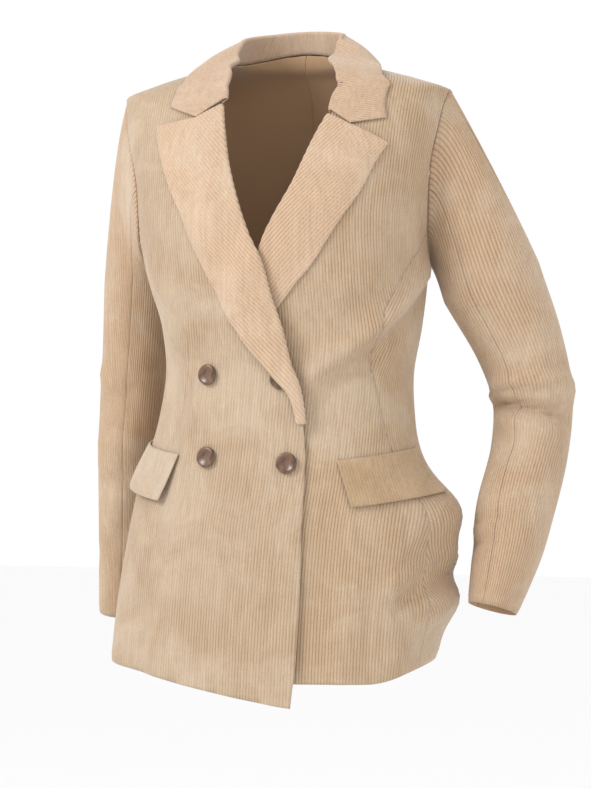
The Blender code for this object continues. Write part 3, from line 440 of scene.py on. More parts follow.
def through(table, at_value, column=1):
    """A smooth curve through one column of a table, with no overshoot between its rows."""
    at, value = table[:, 0], table[:, column]
    x = np.asarray(at_value, float)
    step = np.diff(at)
    slope = np.diff(value) / step
    tangent = np.zeros_like(value)
    first, second = 2 * step[1:] + step[:-1], step[1:] + 2 * step[:-1]
    rising = slope[:-1] * slope[1:] > 0
    below, above = np.where(rising, slope[:-1], 1), np.where(rising, slope[1:], 1)
    tangent[1:-1] = np.where(rising, (first + second) / (first / below + second / above), 0)
    tangent[0], tangent[-1] = slope[0], slope[-1]
    k = np.clip(np.searchsorted(at, x) - 1, 0, len(step) - 1)
    h = step[k]
    t = np.clip((x - at[k]) / h, -0.5, 1.5)
    return between(value[k], h * tangent[k], value[k + 1], h * tangent[k + 1], t)


def spline(p0, p1, p2, p3, t):
    """A smooth curve from p1 to p2 that knows its neighbours."""
    return 0.5 * (
        2 * p1
        + (p2 - p0) * t
        + (2 * p0 - 5 * p1 + 4 * p2 - p3) * t**2
        + (3 * p1 - p0 - 3 * p2 + p3) * t**3
    )


def round_and_round(table, turn):
    """Every column after the first of a table that repeats each 360 degrees of its first column."""
    turn = np.mod(np.asarray(turn, float), 360)
    rows = len(table)
    place = np.interp(turn, np.append(table[:, 0], 360), np.arange(rows + 1))
    k = np.floor(place).astype(int)
    near = [table[(k + j) % rows, 1:] for j in (-1, 0, 1, 2)]
    return spline(*near, (place - k)[..., None])


def smooth_rows(table, share):
    """All columns of a table at a share, 0 to 1, of its length."""
    place = np.asarray(share, float) * (len(table) - 1)
    k = np.clip(np.floor(place).astype(int), 0, len(table) - 2)
    ends = np.vstack([2 * table[0] - table[1], table, 2 * table[-1] - table[-2]])
    near = [ends[k + j] for j in range(4)]
    return spline(*near, (place - k)[..., None])


def ease(t):
    """0 to 1 with level ends."""
    t = np.clip(t, 0, 1)
    return t * t * (3 - 2 * t)


def unit(v):
    return v / np.linalg.norm(v, axis=-1, keepdims=True)


def edge_of(points):
    """A function that runs along a list of places as its argument goes from 0 to 1."""
    points = np.asarray(points, float)

    def at(t):
        place = np.asarray(t, float) * (len(points) - 1)
        k = np.clip(np.floor(place).astype(int), 0, len(points) - 2)
        part = (place - k)[..., None]
        return points[k] * (1 - part) + points[k + 1] * part

    return at


def patch(left, right, bottom, top):
    """Blends four edges, each a function of 0 to 1, into a function of (u, v)."""

    def at(u, v):
        u1, v1 = u[..., None], v[..., None]
        zero, one = np.zeros_like(u), np.ones_like(u)
        low = (1 - u1) * bottom(zero) + u1 * bottom(one)
        high = (1 - u1) * top(zero) + u1 * top(one)
        sides = (1 - u1) * left(v) + u1 * right(v)
        ends = (1 - v1) * bottom(u) + v1 * top(u)
        return sides + ends - (1 - v1) * low - v1 * high

    return at


# ---- the form of the body -----------------------------------------------------------------------


def form_sizes(height):
    return [through(FORM, height, k) for k in range(1, len(FORM_COLUMNS))]


def ring_point(angle, height):
    """The smooth form without folds."""
    width, front, back, shift_x, shift_y, turn, square = form_sizes(height)
    a = np.radians(angle)
    s, c = np.sin(a), np.cos(a)
    x = width * s * (1 + square * c * c)
    y = -np.where(c > 0, front, back) * c * (1 + square * s * s)
    t = -np.radians(turn)
    across = x * np.cos(t) - y * np.sin(t) + shift_x
    ahead = x * np.sin(t) + y * np.cos(t) + shift_y
    return np.stack([across, ahead, height + 0 * a], -1)


def form_place(point):
    """The angle and height of the form's point that lies nearest in its own ring."""
    height = point[..., 2]
    width, front, back, shift_x, shift_y, turn, square = form_sizes(height)
    across, ahead = point[..., 0] - shift_x, point[..., 1] - shift_y
    t = np.radians(turn)
    x = across * np.cos(t) - ahead * np.sin(t)
    y = across * np.sin(t) + ahead * np.cos(t)
    depth = np.where(y < 0, front, back)
    s, c = x / width, -y / depth
    for _ in range(PLACE_ROUNDS):
        length = np.hypot(s, c)
        s, c = s / length, c / length
        s, c = x / (width * (1 + square * c * c)), -y / (depth * (1 + square * s * s))
    return np.degrees(np.arctan2(s, c)), height


def form_normal(angle, height):
    around = ring_point(angle + PROBE, height) - ring_point(angle - PROBE, height)
    upward = ring_point(angle, height + PROBE) - ring_point(angle, height - PROBE)
    return unit(np.cross(around, upward))


def ridge(across, up, run_across, run_up, width, depth):
    """Height of one fold at a distance across and up from the middle of its line."""
    length = math.hypot(run_across, run_up)
    along = (across * run_across + up * run_up) / length
    aside = (across * run_up - up * run_across) / length
    ends = ease((length / 2 + width - np.abs(along)) / (2 * width))
    return depth * ends * np.exp(-((aside / width) ** 2))


def fold_height(angle, height):
    """How far the folds stand out of the form."""
    out = np.zeros(np.broadcast(angle, height).shape)
    degree = math.radians(1) * MEAN_RADIUS
    for angle_0, height_0, angle_1, height_1, width, depth in FOLDS:
        run_across, run_up = (angle_1 - angle_0) * degree, height_1 - height_0
        across = ((angle - (angle_0 + angle_1) / 2 + 180) % 360 - 180) * degree
        up = height - (height_0 + height_1) / 2
        out = out + ridge(across, up, run_across, run_up, width, depth)
    for angle_0, height_0, angle_width, height_width, depth in BULGES:
        across = ((angle - angle_0 + 180) % 360 - 180) / angle_width
        up = (height - height_0) / height_width
        out = out + depth * np.exp(-(across**2) - up**2)
    return out


def on_coat(angle, height, out=0.0):
    """A point on the coat's outer surface, moved out along the form's normal."""
    lift = fold_height(angle, height) + out
    return ring_point(angle, height) + form_normal(angle, height) * np.asarray(lift)[..., None]


def over_lift(angle, height):
    """The distance of the overlapping front from the form."""
    covered_edge = -through(UNDER_EDGE, height)
    rise = ease((angle - covered_edge + OVER_RAMP) / OVER_RAMP)
    return through(OVER_LIFT, height) * rise


def flat(angle, height):
    return 0 * angle


def drawn_back(share, length):
    """Moves the ends of an edge back by half a seam's gap."""
    back = SEAM_GAP / 2 / length
    return back + share * (1 - 2 * back)


# ---- edges that neighbours share ----------------------------------------------------------------


def hem_height(angle):
    return through(HEM, angle)


def armhole(side, turn):
    """Angle and height of an armhole at a turn."""
    return round_and_round(ARMHOLES[side], turn)


def arm_turns():
    """The turns of the points that the body panels and the sleeves share on an armhole."""
    front = np.linspace(0, FRONT_SEAM_TURN, ARM_ROWS + 1)
    under = np.linspace(FRONT_SEAM_TURN, BACK_SEAM_TURN, SIDE_COLUMNS + 1)
    back = np.linspace(BACK_SEAM_TURN, 360, ARM_ROWS + 1)
    return front, under, back


def seam_places(side, half):
    """Places up a side seam from the hem to the armhole."""
    top = armhole(side, FRONT_SEAM_TURN if half == "front" else BACK_SEAM_TURN)
    table = np.vstack([SEAMS[side, half], [top[1], top[0]]])
    bottom = float(hem_height(through(table, HEM_LEVEL)))
    heights = np.linspace(bottom, top[1], SKIRT_ROWS + 1)
    return [(float(through(table, h)), float(h)) for h in heights]


def arm_places(side, half):
    """Places up an armhole from the side seam to the shoulder point."""
    front, _, back = arm_turns()
    turns = front[::-1] if half == "front" else back
    return [tuple(armhole(side, t)) for t in turns[1:]]


def hem_places(first, last, count):
    return [(a, float(hem_height(a))) for a in np.linspace(first, last, count + 1)]


def shoulder_seam(side, count):
    """Places along a shoulder seam from the armhole to the neck."""
    angle, height = armhole(side, 0)
    neck = 90.0 if side == "left" else -90.0
    return [(angle + (neck - angle) * t, height * (1 - t)) for t in np.linspace(0, 1, count + 1)]


def roll_heights(side):
    return np.linspace(BREAKS[side], GORGES[side], LAPEL_ROWS + 1)


def edge_place(side, height):
    """The place of a front's edge, roll line or neck edge at a height."""
    if side == "right":
        return float(through(OVER_EDGE, height)), float(height)
    return -float(through(UNDER_EDGE, height)), float(height)


def neck_heights(side):
    """Heights of the front neck edge from the gorge to the shoulder seam."""
    if side == "right":
        return [row[1] for row in COLLAR if -90 <= row[0] < 0]
    return [row[1] for row in COLLAR[::-1] if 0 < row[0] <= 90]


def front_edge(side, bottom):
    """Places up a front edge, roll line and neck edge."""
    neck = neck_heights(side)[1:]
    below = SKIRT_ROWS + ARM_ROWS - LAPEL_ROWS - len(neck)
    low = np.linspace(bottom, BREAKS[side], below + 1)[:-1]
    heights = np.concatenate([low, roll_heights(side), neck])
    return [edge_place(side, h) for h in heights]


def nape_height(angle):
    return NAPE * float(ease((abs(angle) - 90) / 90))


def back_top(side, sign):
    """Places along the shoulder seam and the back of the neck to the centre back."""
    angles = sorted({abs(row[0]) for row in COLLAR if abs(row[0]) > 90})
    neck = [(sign * a, nape_height(a)) for a in angles]
    return shoulder_seam(side, SHOULDER_COLUMNS) + neck


# ---- lapels and collar --------------------------------------------------------------------------


def turned(base, away, normal, air, share, depth):
    """A point on the way round a fold, from the end of one layer (share 0) to the top of the next."""
    radius = (FACED_WALL + air / 2 - depth)[..., None]
    turn = (np.pi * (share - 0.5))[..., None]
    centre = base + normal * (air / 2)[..., None]
    return centre + radius * (np.cos(turn) * away + np.sin(turn) * normal)


def lapel_air(side, height, share):
    """Air under a lapel, from its roll (share 0) to its free edge (share 1)."""
    puff = LAPEL_PUFF[side] * np.sin(np.pi * share) * ease((height - BREAKS[side]) / LAPEL_EASE)
    air = ROLL_AIR * (1 - share) + EDGE_AIR * share + puff
    if side == "right":
        at, reach, depth = BUTTON_ROOM
        air = air + depth * np.exp(-(((height - at) / reach) ** 2))
    return air


def lapel_surface(side):
    """The outer surface of a lapel, which turns out along the roll line and lies on its front."""
    sign = 1 if side == "right" else -1  # which way is away from the front at its edge
    lift_of = over_lift if side == "right" else flat
    roll = edge_of([edge_place(side, h) for h in roll_heights(side)])
    low, high = roll(np.array(0.0)), roll(np.array(1.0))
    notch, point = NOTCHES[side], LAPEL_EDGES[side][-1]
    top = edge_of([high, (np.array(high) + notch) / 2, notch, (np.array(notch) + point) / 2, point])
    bottom = edge_of([low, LAPEL_EDGES[side][0]])
    place = patch(roll, lambda v: smooth_rows(LAPEL_EDGES[side], v), bottom, top)
    first = ROLL_STEPS / (ROLL_STEPS + LAPEL_COLUMNS)

    def point_of(u, v, depth):
        if side == "right":
            u = 1 - u
        v = drawn_back(v, LAPEL_LENGTH)
        along = roll(v)
        lift = lift_of(along[:, 0], along[:, 1])
        base = on_coat(along[:, 0], along[:, 1], lift)
        normal = form_normal(along[:, 0], along[:, 1])
        near = roll(np.minimum(v + ROLL_PROBE, 1))
        back = roll(np.maximum(v - ROLL_PROBE, 0))
        tangent = unit(
            on_coat(near[:, 0], near[:, 1], lift) - on_coat(back[:, 0], back[:, 1], lift)
        )
        away = unit(np.cross(tangent, normal)) * sign
        base = base + away * SEAM_GAP / 2
        air = lapel_air(side, along[:, 1], 0.0)
        rolled = turned(base, away, normal, air, np.clip(u / first, 0, 1), depth)
        share = np.clip((u - first) / (1 - first), 0, 1)
        where = place(share, v)
        height = where[:, 1]
        out = lift_of(where[:, 0], height) + lapel_air(side, height, share) + FACED_WALL - depth
        lying = on_coat(where[:, 0], height, out)
        return np.where((u <= first + 1e-6)[:, None], rolled, lying)

    return point_of


def collar_surface():
    """The outer surface of the collar: a stand, a fold, and a fall that lies on the shoulders."""
    rows = []
    for seam_angle, seam_height, *rest in COLLAR:
        if abs(seam_angle) > 90:
            rows.append([seam_angle, nape_height(seam_angle), *rest])
        else:
            side = "right" if seam_angle < 0 else "left"
            rows.append([*edge_place(side, seam_height), *rest])
    rows = np.array(rows)
    rows[:, 0::2] %= 360  # one way round the back of the neck

    def seam(u):
        return smooth_rows(rows[:, 0:2], u)

    def fold(u):
        return smooth_rows(rows[:, 2:4], u)

    def edge(u):
        return smooth_rows(rows[:, 4:6], u)

    steps = STAND_STEPS + ROLL_STEPS + FALL_STEPS
    stand_end, roll_end = STAND_STEPS / steps, (STAND_STEPS + ROLL_STEPS) / steps
    count = len(rows) - 1

    def frame_at(u):
        at_seam, at_fold = seam(u), fold(u)
        seam_normal = form_normal(at_seam[:, 0], at_seam[:, 1])
        low = on_coat(at_seam[:, 0], at_seam[:, 1])
        high = on_coat(at_fold[:, 0], at_fold[:, 1])
        return low, high, seam_normal

    def notch_shift(u, share):
        """How far the notches move a place of the fall, and how far along the collar."""
        shift, along = np.zeros((len(u), 2)), np.zeros(len(u))
        for end, side, way in ((0.0, "right", 1), (1.0, "left", -1)):
            first, last = fold(np.array(end)), edge(np.array(end))
            notch = np.array([NOTCHES[side][0] % 360, NOTCHES[side][1]])
            bent = edge_of([first, (first + notch) / 2, notch, (notch + last) / 2, last])(share)
            near_end = np.clip(1 - np.abs(u - end) * count / FRONT_END, 0, 1) ** 2
            moved = bent + np.array([0, GORGE_GAP]) - first - (last - first) * share[:, None]
            shift = shift + moved * near_end[:, None]
            along = along + way * moved[:, 1] * near_end
        return shift, along

    def lengthwise(u, v):
        return notch_shift(u, np.clip((v - roll_end) / (1 - roll_end), 0, 1))[1]

    def point_of(u, v, depth):
        low, high, seam_normal = frame_at(u)
        step = 0.5 / count
        _, high_a, _ = frame_at(np.maximum(u - step, 0))
        _, high_b, _ = frame_at(np.minimum(u + step, 1))
        upward = unit(high - low)
        around = unit(high_b - high_a)
        normal = unit(np.cross(upward, around))
        normal = normal * np.sign((normal * seam_normal).sum(-1, keepdims=True))
        upward = unit(np.cross(normal, around))
        upward = upward * np.sign((upward * (high - low)).sum(-1, keepdims=True))
        start = low + unit(high - low) * NECK_GAP
        stand_share = np.clip(v / stand_end, 0, 1)[:, None]
        lean = STAND_LEAN * (1 - stand_share)
        inner = (FACED_WALL - depth)[:, None] * unit(lean * seam_normal + (1 - lean) * normal)
        stand = start + (high - start) * stand_share - inner
        air = np.full(len(u), ROLL_AIR)
        roll_share = np.clip((v - stand_end) / (roll_end - stand_end), 0, 1)
        rolled = turned(high, upward, normal, air, roll_share, depth)
        share = np.clip((v - roll_end) / (1 - roll_end), 0, 1)
        at_fold, at_edge = fold(u), edge(u)
        straight = at_fold + (at_edge - at_fold) * share[:, None]
        straight = straight + notch_shift(u, share)[0]
        puff = COLLAR_PUFF * np.sin(np.pi * share)
        wall = FACED_WALL - depth
        out = ROLL_AIR * (1 - share) + EDGE_AIR * share + wall + puff * END_PUFF
        hugging = on_coat(straight[:, 0], straight[:, 1], out)
        top = high + normal * (ROLL_AIR + wall)[:, None]
        free = on_coat(at_edge[:, 0], at_edge[:, 1], BACK_AIR + wall + 0 * u)
        bridge = top + (free - top) * share[:, None]
        bridge = bridge + unit(normal + PUFF_TILT) * (puff * BRIDGE_PUFF)[:, None]
        from_end = np.minimum(u, 1 - u) * count
        blend = ease((from_end - HUGGING_END) / FRONT_END)[:, None]
        fall = hugging * (1 - blend) + bridge * blend
        result = np.where((v <= stand_end + 1e-6)[:, None], stand, rolled)
        return np.where((v > roll_end + 1e-6)[:, None], fall, result)

    return point_of, lengthwise


# ---- sleeves ------------------------------------------------------------------------------------


def sleeve_fold(side, turn, along):
    """How far the folds of a sleeve stand out of its rings."""
    out = np.zeros(np.broadcast(turn, along).shape)
    for turn_0, along_0, turn_1, along_1, width, depth in SLEEVE_FOLDS[side]:
        run_round, run_down = (turn_1 - turn_0) * TURN_SIZE, (along_1 - along_0) * SLEEVE_LENGTH
        round_it = ((turn - (turn_0 + turn_1) / 2 + 180) % 360 - 180) * TURN_SIZE
        down = (along - (along_0 + along_1) / 2) * SLEEVE_LENGTH
        out = out + ridge(round_it, down, run_round, run_down, width, depth)
    return out


def sleeve_ring(side, turn, along):
    """A point on the sleeve below the cap, and the sleeve's direction there."""
    turn = turn + round_and_round(CAPS[side], turn)[..., -1]
    table = SLEEVES[side]
    row = smooth_rows(table, along)
    ahead = smooth_rows(table, np.minimum(along + ROLL_PROBE, 1))[:, :3]
    behind = smooth_rows(table, np.maximum(along - ROLL_PROBE, 0))[:, :3]
    down = unit(ahead - behind)
    heading = np.radians(row[:, 5])
    outward = np.stack([np.cos(heading), np.sin(heading), 0 * heading], -1)
    outward = unit(outward - down * (outward * down).sum(-1, keepdims=True))
    forward = np.cross(down, outward)
    forward = forward * np.sign(-forward[:, 1:2])
    t = np.radians(turn)
    spoke = outward * (row[:, 3] * np.cos(t))[:, None] + forward * (row[:, 4] * np.sin(t))[:, None]
    spoke = spoke + unit(spoke) * sleeve_fold(side, turn, along)[:, None]
    return row[:, :3] + spoke, down, unit(spoke)


def cap_point(side, turn, t, depth):
    """A point of the sleeve cap, from the armhole (t 0) to the first ring (t 1)."""
    place = armhole(side, turn)
    start = on_coat(place[:, 0], place[:, 1])
    normal = form_normal(place[:, 0], place[:, 1])
    before, after = armhole(side, turn - ARM_WINDOW), armhole(side, turn + ARM_WINDOW)
    along = unit(on_coat(after[:, 0], after[:, 1]) - on_coat(before[:, 0], before[:, 1]))
    away = np.cross(normal, along) if side == "left" else np.cross(along, normal)
    middle = on_coat(*[np.full(len(turn), value) for value in ARMHOLES[side][:, 1:].mean(0)])
    away = away * np.sign(((middle - start) * away).sum(-1, keepdims=True))
    end, down, spoke = sleeve_ring(side, turn, np.zeros(len(turn)))
    distance = np.linalg.norm(end - start, axis=-1)
    reach, rise, pull, _ = round_and_round(CAPS[side], turn).T
    rise = np.radians(rise)[:, None]
    leaving = (np.cos(rise) * away + np.sin(rise) * normal) * (reach * distance)[:, None]
    arriving = down * (pull * distance)[:, None]
    t = t[:, None]
    start = start + away * SEAM_GAP / 2
    facing = unit((np.cos(rise) * normal - np.sin(rise) * away) * (1 - t) + spoke * t)
    return between(start, leaving, end, arriving, t) - facing * depth[:, None]


def sleeve_turns(part):
    """The turns round the armhole that one piece of a sleeve covers."""
    front, _, back = arm_turns()
    first = front[round(len(front) * TOP_SHARE)]
    last = back[round(len(back) * (1 - TOP_SHARE) / 2)]
    return (last - 360, first) if part == "top" else (first, last)


def sleeve_surface(side, part):
    """The outer surface of one piece of a sleeve."""
    low, high = sleeve_turns(part)

    def point_of(u, v, depth):
        turn = low + (high - low) * u
        down = (1 - v) * (CAP_ROWS + TUBE_ROWS)
        cap = cap_point(side, turn, np.clip(down / CAP_ROWS, 0, 1) ** CAP_SPACING, depth)
        tube, _, spoke = sleeve_ring(side, turn, np.clip((down - CAP_ROWS) / TUBE_ROWS, 0, 1))
        return np.where((down < CAP_ROWS)[:, None], cap, tube - spoke * depth[:, None])

    return point_of


def flap_surface(side):
    """The outer surface of a pocket flap, held along its top edge."""
    top_inner, top_outer, low_outer, low_inner = FLAPS[side]
    lift_of = over_lift if side == "right" else flat
    top_air, low_air = FLAP_AIR[side]
    if side == "left":
        corners = (edge_of([low_inner, top_inner]), edge_of([low_outer, top_outer]),
                   edge_of([low_inner, low_outer]), edge_of([top_inner, top_outer]))  # fmt: skip
    else:
        corners = (edge_of([low_outer, top_outer]), edge_of([low_inner, top_inner]),
                   edge_of([low_outer, low_inner]), edge_of([top_outer, top_inner]))  # fmt: skip
    place = patch(*corners)

    def point_of(u, v, depth):
        where = place(u, v)
        air = top_air * v + low_air * (1 - v)
        out = lift_of(where[:, 0], where[:, 1]) + air + FACED_WALL - depth
        return on_coat(where[:, 0], where[:, 1], out)

    return point_of


# ---- corduroy as fine mesh ----------------------------------------------------------------------


def wale_height(across):
    """Height of the pile, 0 to 1, at a distance across the ribs."""
    phase = np.mod(across / WALE, 1.0)
    return np.sin(np.pi * phase) ** WALE_ROUND


class Arc:
    """Turns an angle on the form into the distance round it from a reference angle, and back."""

    def __init__(self, reference, reach, lean=None):
        self.reference = reference
        self.angles = np.arange(-reach, reach + ARC_STEP, ARC_STEP)
        self.heights = np.arange(FORM[0, 0], FORM[-1, 0], ARC_ROW)
        grid_angle, grid_height = np.meshgrid(reference + self.angles, self.heights)
        points = ring_point(grid_angle, grid_height)
        steps = np.linalg.norm(np.diff(points, axis=1), axis=-1)
        run = np.concatenate([np.zeros((len(self.heights), 1)), np.cumsum(steps, axis=1)], axis=1)
        self.table = run - run[:, [len(self.angles) // 2]]
        if lean is not None:
            self.table = self.table + through(lean, self.heights)[:, None]

    def rows(self, height):
        place = np.clip((height - self.heights[0]) / ARC_ROW, 0, len(self.heights) - 1.001)
        row = np.floor(place).astype(int)
        return row, place - row

    def across(self, angle, height):
        """Distance round the form."""
        row, part = self.rows(height)
        turn = np.mod(angle - self.reference + 180, 360) - 180
        place = np.clip((turn - self.angles[0]) / ARC_STEP, 0, len(self.angles) - 1.001)
        column = np.floor(place).astype(int)
        along = place - column
        low = self.table[row, column] * (1 - along) + self.table[row, column + 1] * along
        high = self.table[row + 1, column] * (1 - along) + self.table[row + 1, column + 1] * along
        return low * (1 - part) + high * part

    def angle(self, across, height):
        """Angle on the form."""
        low, high = np.full(len(across), self.angles[0]), np.full(len(across), self.angles[-1])
        for _ in range(BISECTIONS):
            middle = (low + high) / 2
            beyond = self.across(self.reference + middle, height) > across
            high = np.where(beyond, middle, high)
            low = np.where(beyond, low, middle)
        return self.reference + (low + high) / 2


def nearest(points, outline, closed=True):
    """Distance from each point to a line through places, in the plane, and the nearest place on it."""
    starts = outline if closed else outline[:-1]
    ends = np.roll(outline, -1, axis=0) if closed else outline[1:]
    best, foot = np.full(len(points), np.inf), points.copy()
    for start, end in zip(starts, ends):
        line = end - start
        length = float(line @ line) + TINY
        share = np.clip(((points - start) @ line) / length, 0, 1)
        place = start + share[:, None] * line
        gap = np.hypot(*(points - place).T)
        nearer = gap < best
        best = np.where(nearer, gap, best)
        foot = np.where(nearer[:, None], place, foot)
    return best, foot


def rim_of(quads):
    """The edges that only one face has, in the direction in which that face has them."""
    directed = np.stack([quads, np.roll(quads, -1, axis=1)], -1).reshape(-1, 2)
    _, index, times = np.unique(
        np.sort(directed, axis=1), axis=0, return_inverse=True, return_counts=True
    )
    return directed[times[index.reshape(-1)] == 1]


def shell(name, outer, inner, quads, material, wale):
    """A closed wall of cloth from two layers of points and the faces that they share."""
    count = len(outer)
    rim = rim_of(quads)
    rims = np.column_stack([rim[:, 1], rim[:, 0], rim[:, 0] + count, rim[:, 1] + count])
    faces = np.concatenate([quads, quads[:, ::-1] + count, rims])
    mesh = bpy.data.meshes.new(name)
    mesh.from_pydata(np.concatenate([outer, inner]) * METRES, [], faces.tolist())
    pile = mesh.attributes.new("pile", "FLOAT", "POINT")
    pile.data.foreach_set("value", np.concatenate([wale, np.full(count, -1.0)]).astype(np.float32))
    mesh.shade_smooth()
    mesh.materials.append(material)
    piece = bpy.data.objects.new("visual_" + name, mesh)
    bpy.context.scene.collection.objects.link(piece)
    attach(piece, "root")
    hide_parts(name)


def facing_out(outer, inner, quads):
    """Turns the faces so that they face away from the inner layer."""
    a, b, c = (outer[quads[:, k]] for k in (0, 1, 2))
    out = outer[quads[:, 0]] - inner[quads[:, 0]]
    if np.sum(np.cross(b - a, c - a) * out) < 0:
        return quads[:, ::-1]
    return quads


def crossings(outline, place):
    """Heights where one column of the mesh crosses an outline, from the lowest up."""
    starts, ends = outline, np.roll(outline, -1, axis=0)
    hit = (starts[:, 0] > place) != (ends[:, 0] > place)
    share = (place - starts[hit, 0]) / (ends[hit, 0] - starts[hit, 0])
    return np.sort(starts[hit, 1] + share * (ends[hit, 1] - starts[hit, 1]))


def part_between(hits, bottom, top):
    """The part of a column inside its outline between two heights, or None."""
    within = hits[(hits > bottom) & (hits < top)]
    from_bottom = np.sum(hits <= bottom) % 2 == 1
    to_top = np.sum(hits < top) % 2 == 1
    if len(within) == 0:
        return (bottom, top) if from_bottom else None
    return (bottom if from_bottom else within[0]), (top if to_top else within[-1])


def band_rows(arc, across, low, high):
    """How many rows of mesh a band needs, from the longest of its columns."""
    heights = low[:, None] + (high - low)[:, None] * np.linspace(0, 1, BAND_SAMPLES)
    angle = arc.angle(np.repeat(across, BAND_SAMPLES), heights.ravel())
    points = ring_point(angle, heights.ravel()).reshape(len(across), BAND_SAMPLES, 3)
    length = np.linalg.norm(np.diff(points, axis=1), axis=-1).sum(1).max()
    return max(1, round(float(length) / ROW_SIZE))


def ribbed_mesh(plane, arc):
    """Places and faces of a mesh whose columns follow the ribs, fitted to an outline."""
    step = WALE / STEPS_PER_WALE
    first, last = math.ceil(plane[:, 0].min() / step), math.floor(plane[:, 0].max() / step)
    columns = np.arange(first, last + 1) * step
    hits = [crossings(plane, place) for place in columns]
    across, height, quads, start = [], [], [], 0
    for bottom, top in zip(BANDS[:-1], BANDS[1:]):
        parts = [part_between(column, bottom, top) for column in hits]
        kept = np.array([k for k, part in enumerate(parts) if part is not None], int)
        if len(kept) < 2:
            continue
        low, high = np.array([parts[k] for k in kept]).T
        rows = band_rows(arc, columns[kept], low, high)
        even = np.linspace(0, 1, rows + 1)
        across.append(np.repeat(columns[kept], rows + 1))
        height.append((low[:, None] + (high - low)[:, None] * even).ravel())
        joined = np.flatnonzero(np.diff(kept) == 1)
        corner = (start + joined[:, None] * (rows + 1) + np.arange(rows)).ravel()
        quads.append(np.column_stack([corner, corner + rows + 1, corner + rows + 2, corner + 1]))
        start += len(kept) * (rows + 1)
    place = np.column_stack([np.concatenate(across), np.concatenate(height)])
    quads = np.concatenate(quads)
    _, index, back = np.unique(
        np.round(place / MERGE).astype(np.int64), axis=0, return_index=True, return_inverse=True
    )
    place, quads = place[index], back.reshape(-1)[quads]
    quads = quads[[len(set(quad)) == len(quad) for quad in quads.tolist()]]
    used, quads = np.unique(quads, return_inverse=True)
    place, quads = place[used], quads.reshape(-1, 4)
    rim = np.unique(rim_of(quads))
    gap, foot = nearest(place[rim], plane)
    near = gap < SNAP * step
    place[rim[near]] = foot[near]
    return place, quads


def panel(name, outline, arc, material, lift_of=flat, darts=()):
    """A body piece: ribs at a constant distance round the form, cut where they reach the outline."""
    places = np.array(outline, float)
    plane = np.column_stack([arc.across(places[:, 0], places[:, 1]), places[:, 1]])
    place, quads = ribbed_mesh(plane, arc)
    across, height = place.T
    angle = arc.angle(across, height)
    dent = SEAM_GROOVE * np.exp(-((nearest(place, plane)[0] / SEAM_WIDTH) ** 2))
    for line in darts:
        line = np.array(line, float)
        line = np.column_stack([arc.across(line[:, 0], line[:, 1]), line[:, 1]])
        gap = nearest(place, line, closed=False)[0]
        dent = dent + SEAM_GROOVE * np.exp(-((gap / SEAM_WIDTH) ** 2))
    wale = wale_height(across)
    lift = lift_of(angle, height)
    outer = on_coat(angle, height, lift + (wale - 1) * WALE_RISE - dent)
    inner = on_coat(angle, height, lift - BODY_WALL)
    shell(name, outer, inner, facing_out(outer, inner, quads), material, wale)


def sheet_of(name, surface, columns, rows, across_of, material, wall):
    """A piece on a regular mesh. across_of gives the distance across its ribs."""
    u, v = np.meshgrid(np.linspace(0, 1, columns + 1), np.linspace(0, 1, rows + 1))
    u, v = u.ravel(), v.ravel()
    flat_points = surface(u, v, np.zeros(len(u)))
    grid = flat_points.reshape(rows + 1, columns + 1, 3)
    wide = np.linalg.norm(np.diff(grid, axis=1), axis=-1)
    wide = np.concatenate([np.zeros((rows + 1, 1)), np.cumsum(wide, axis=1)], axis=1)
    tall = np.linalg.norm(np.diff(grid, axis=0), axis=-1)
    tall = np.concatenate([np.zeros((1, columns + 1)), np.cumsum(tall, axis=0)], axis=0)
    wale = wale_height(across_of(u, v, wide, flat_points).ravel())
    dent = np.zeros(wide.shape)
    for gap in (wide, wide[:, -1:] - wide, tall, tall[-1:] - tall):
        dent = dent + EDGE_GROOVE * np.exp(-((gap / EDGE_WIDTH) ** 2))
    depth = (1 - wale) * WALE_RISE + dent.ravel()
    outer = surface(u, v, depth)
    inner = surface(u, v, np.full(len(u), wall))
    corner = (np.arange(rows)[:, None] * (columns + 1) + np.arange(columns)).ravel()
    quads = np.column_stack([corner, corner + 1, corner + columns + 2, corner + columns + 1])
    shell(name, outer, inner, facing_out(outer, inner, quads), material, wale)


# ---- materials ----------------------------------------------------------------------------------


def linear(hex_colour):
    """A colour written as sRGB hex, as linear red, green and blue with alpha."""
    parts = [int(hex_colour[k : k + 2], 16) / 255 for k in (1, 3, 5)]
    return [c / 12.92 if c <= 0.04045 else ((c + 0.055) / 1.055) ** 2.4 for c in parts] + [1.0]


def node(tree, kind, links=None, **settings):
    """Adds a node, sets its properties and unlinked inputs, and links its other inputs."""
    made = tree.nodes.new(kind)
    for name, value in settings.items():
        setattr(made, name, value)
    for name, value in (links or {}).items():
        socket = made.inputs[name]
        if isinstance(value, bpy.types.NodeSocket):
            tree.links.new(value, socket)
        else:
            socket.default_value = value
    return made


def mixed(tree, factor, first, second, blend="MIX"):
    made = node(tree, "ShaderNodeMix", {0: factor, 6: first, 7: second}, data_type="RGBA")
    made.blend_type = blend
    return made.outputs[2]


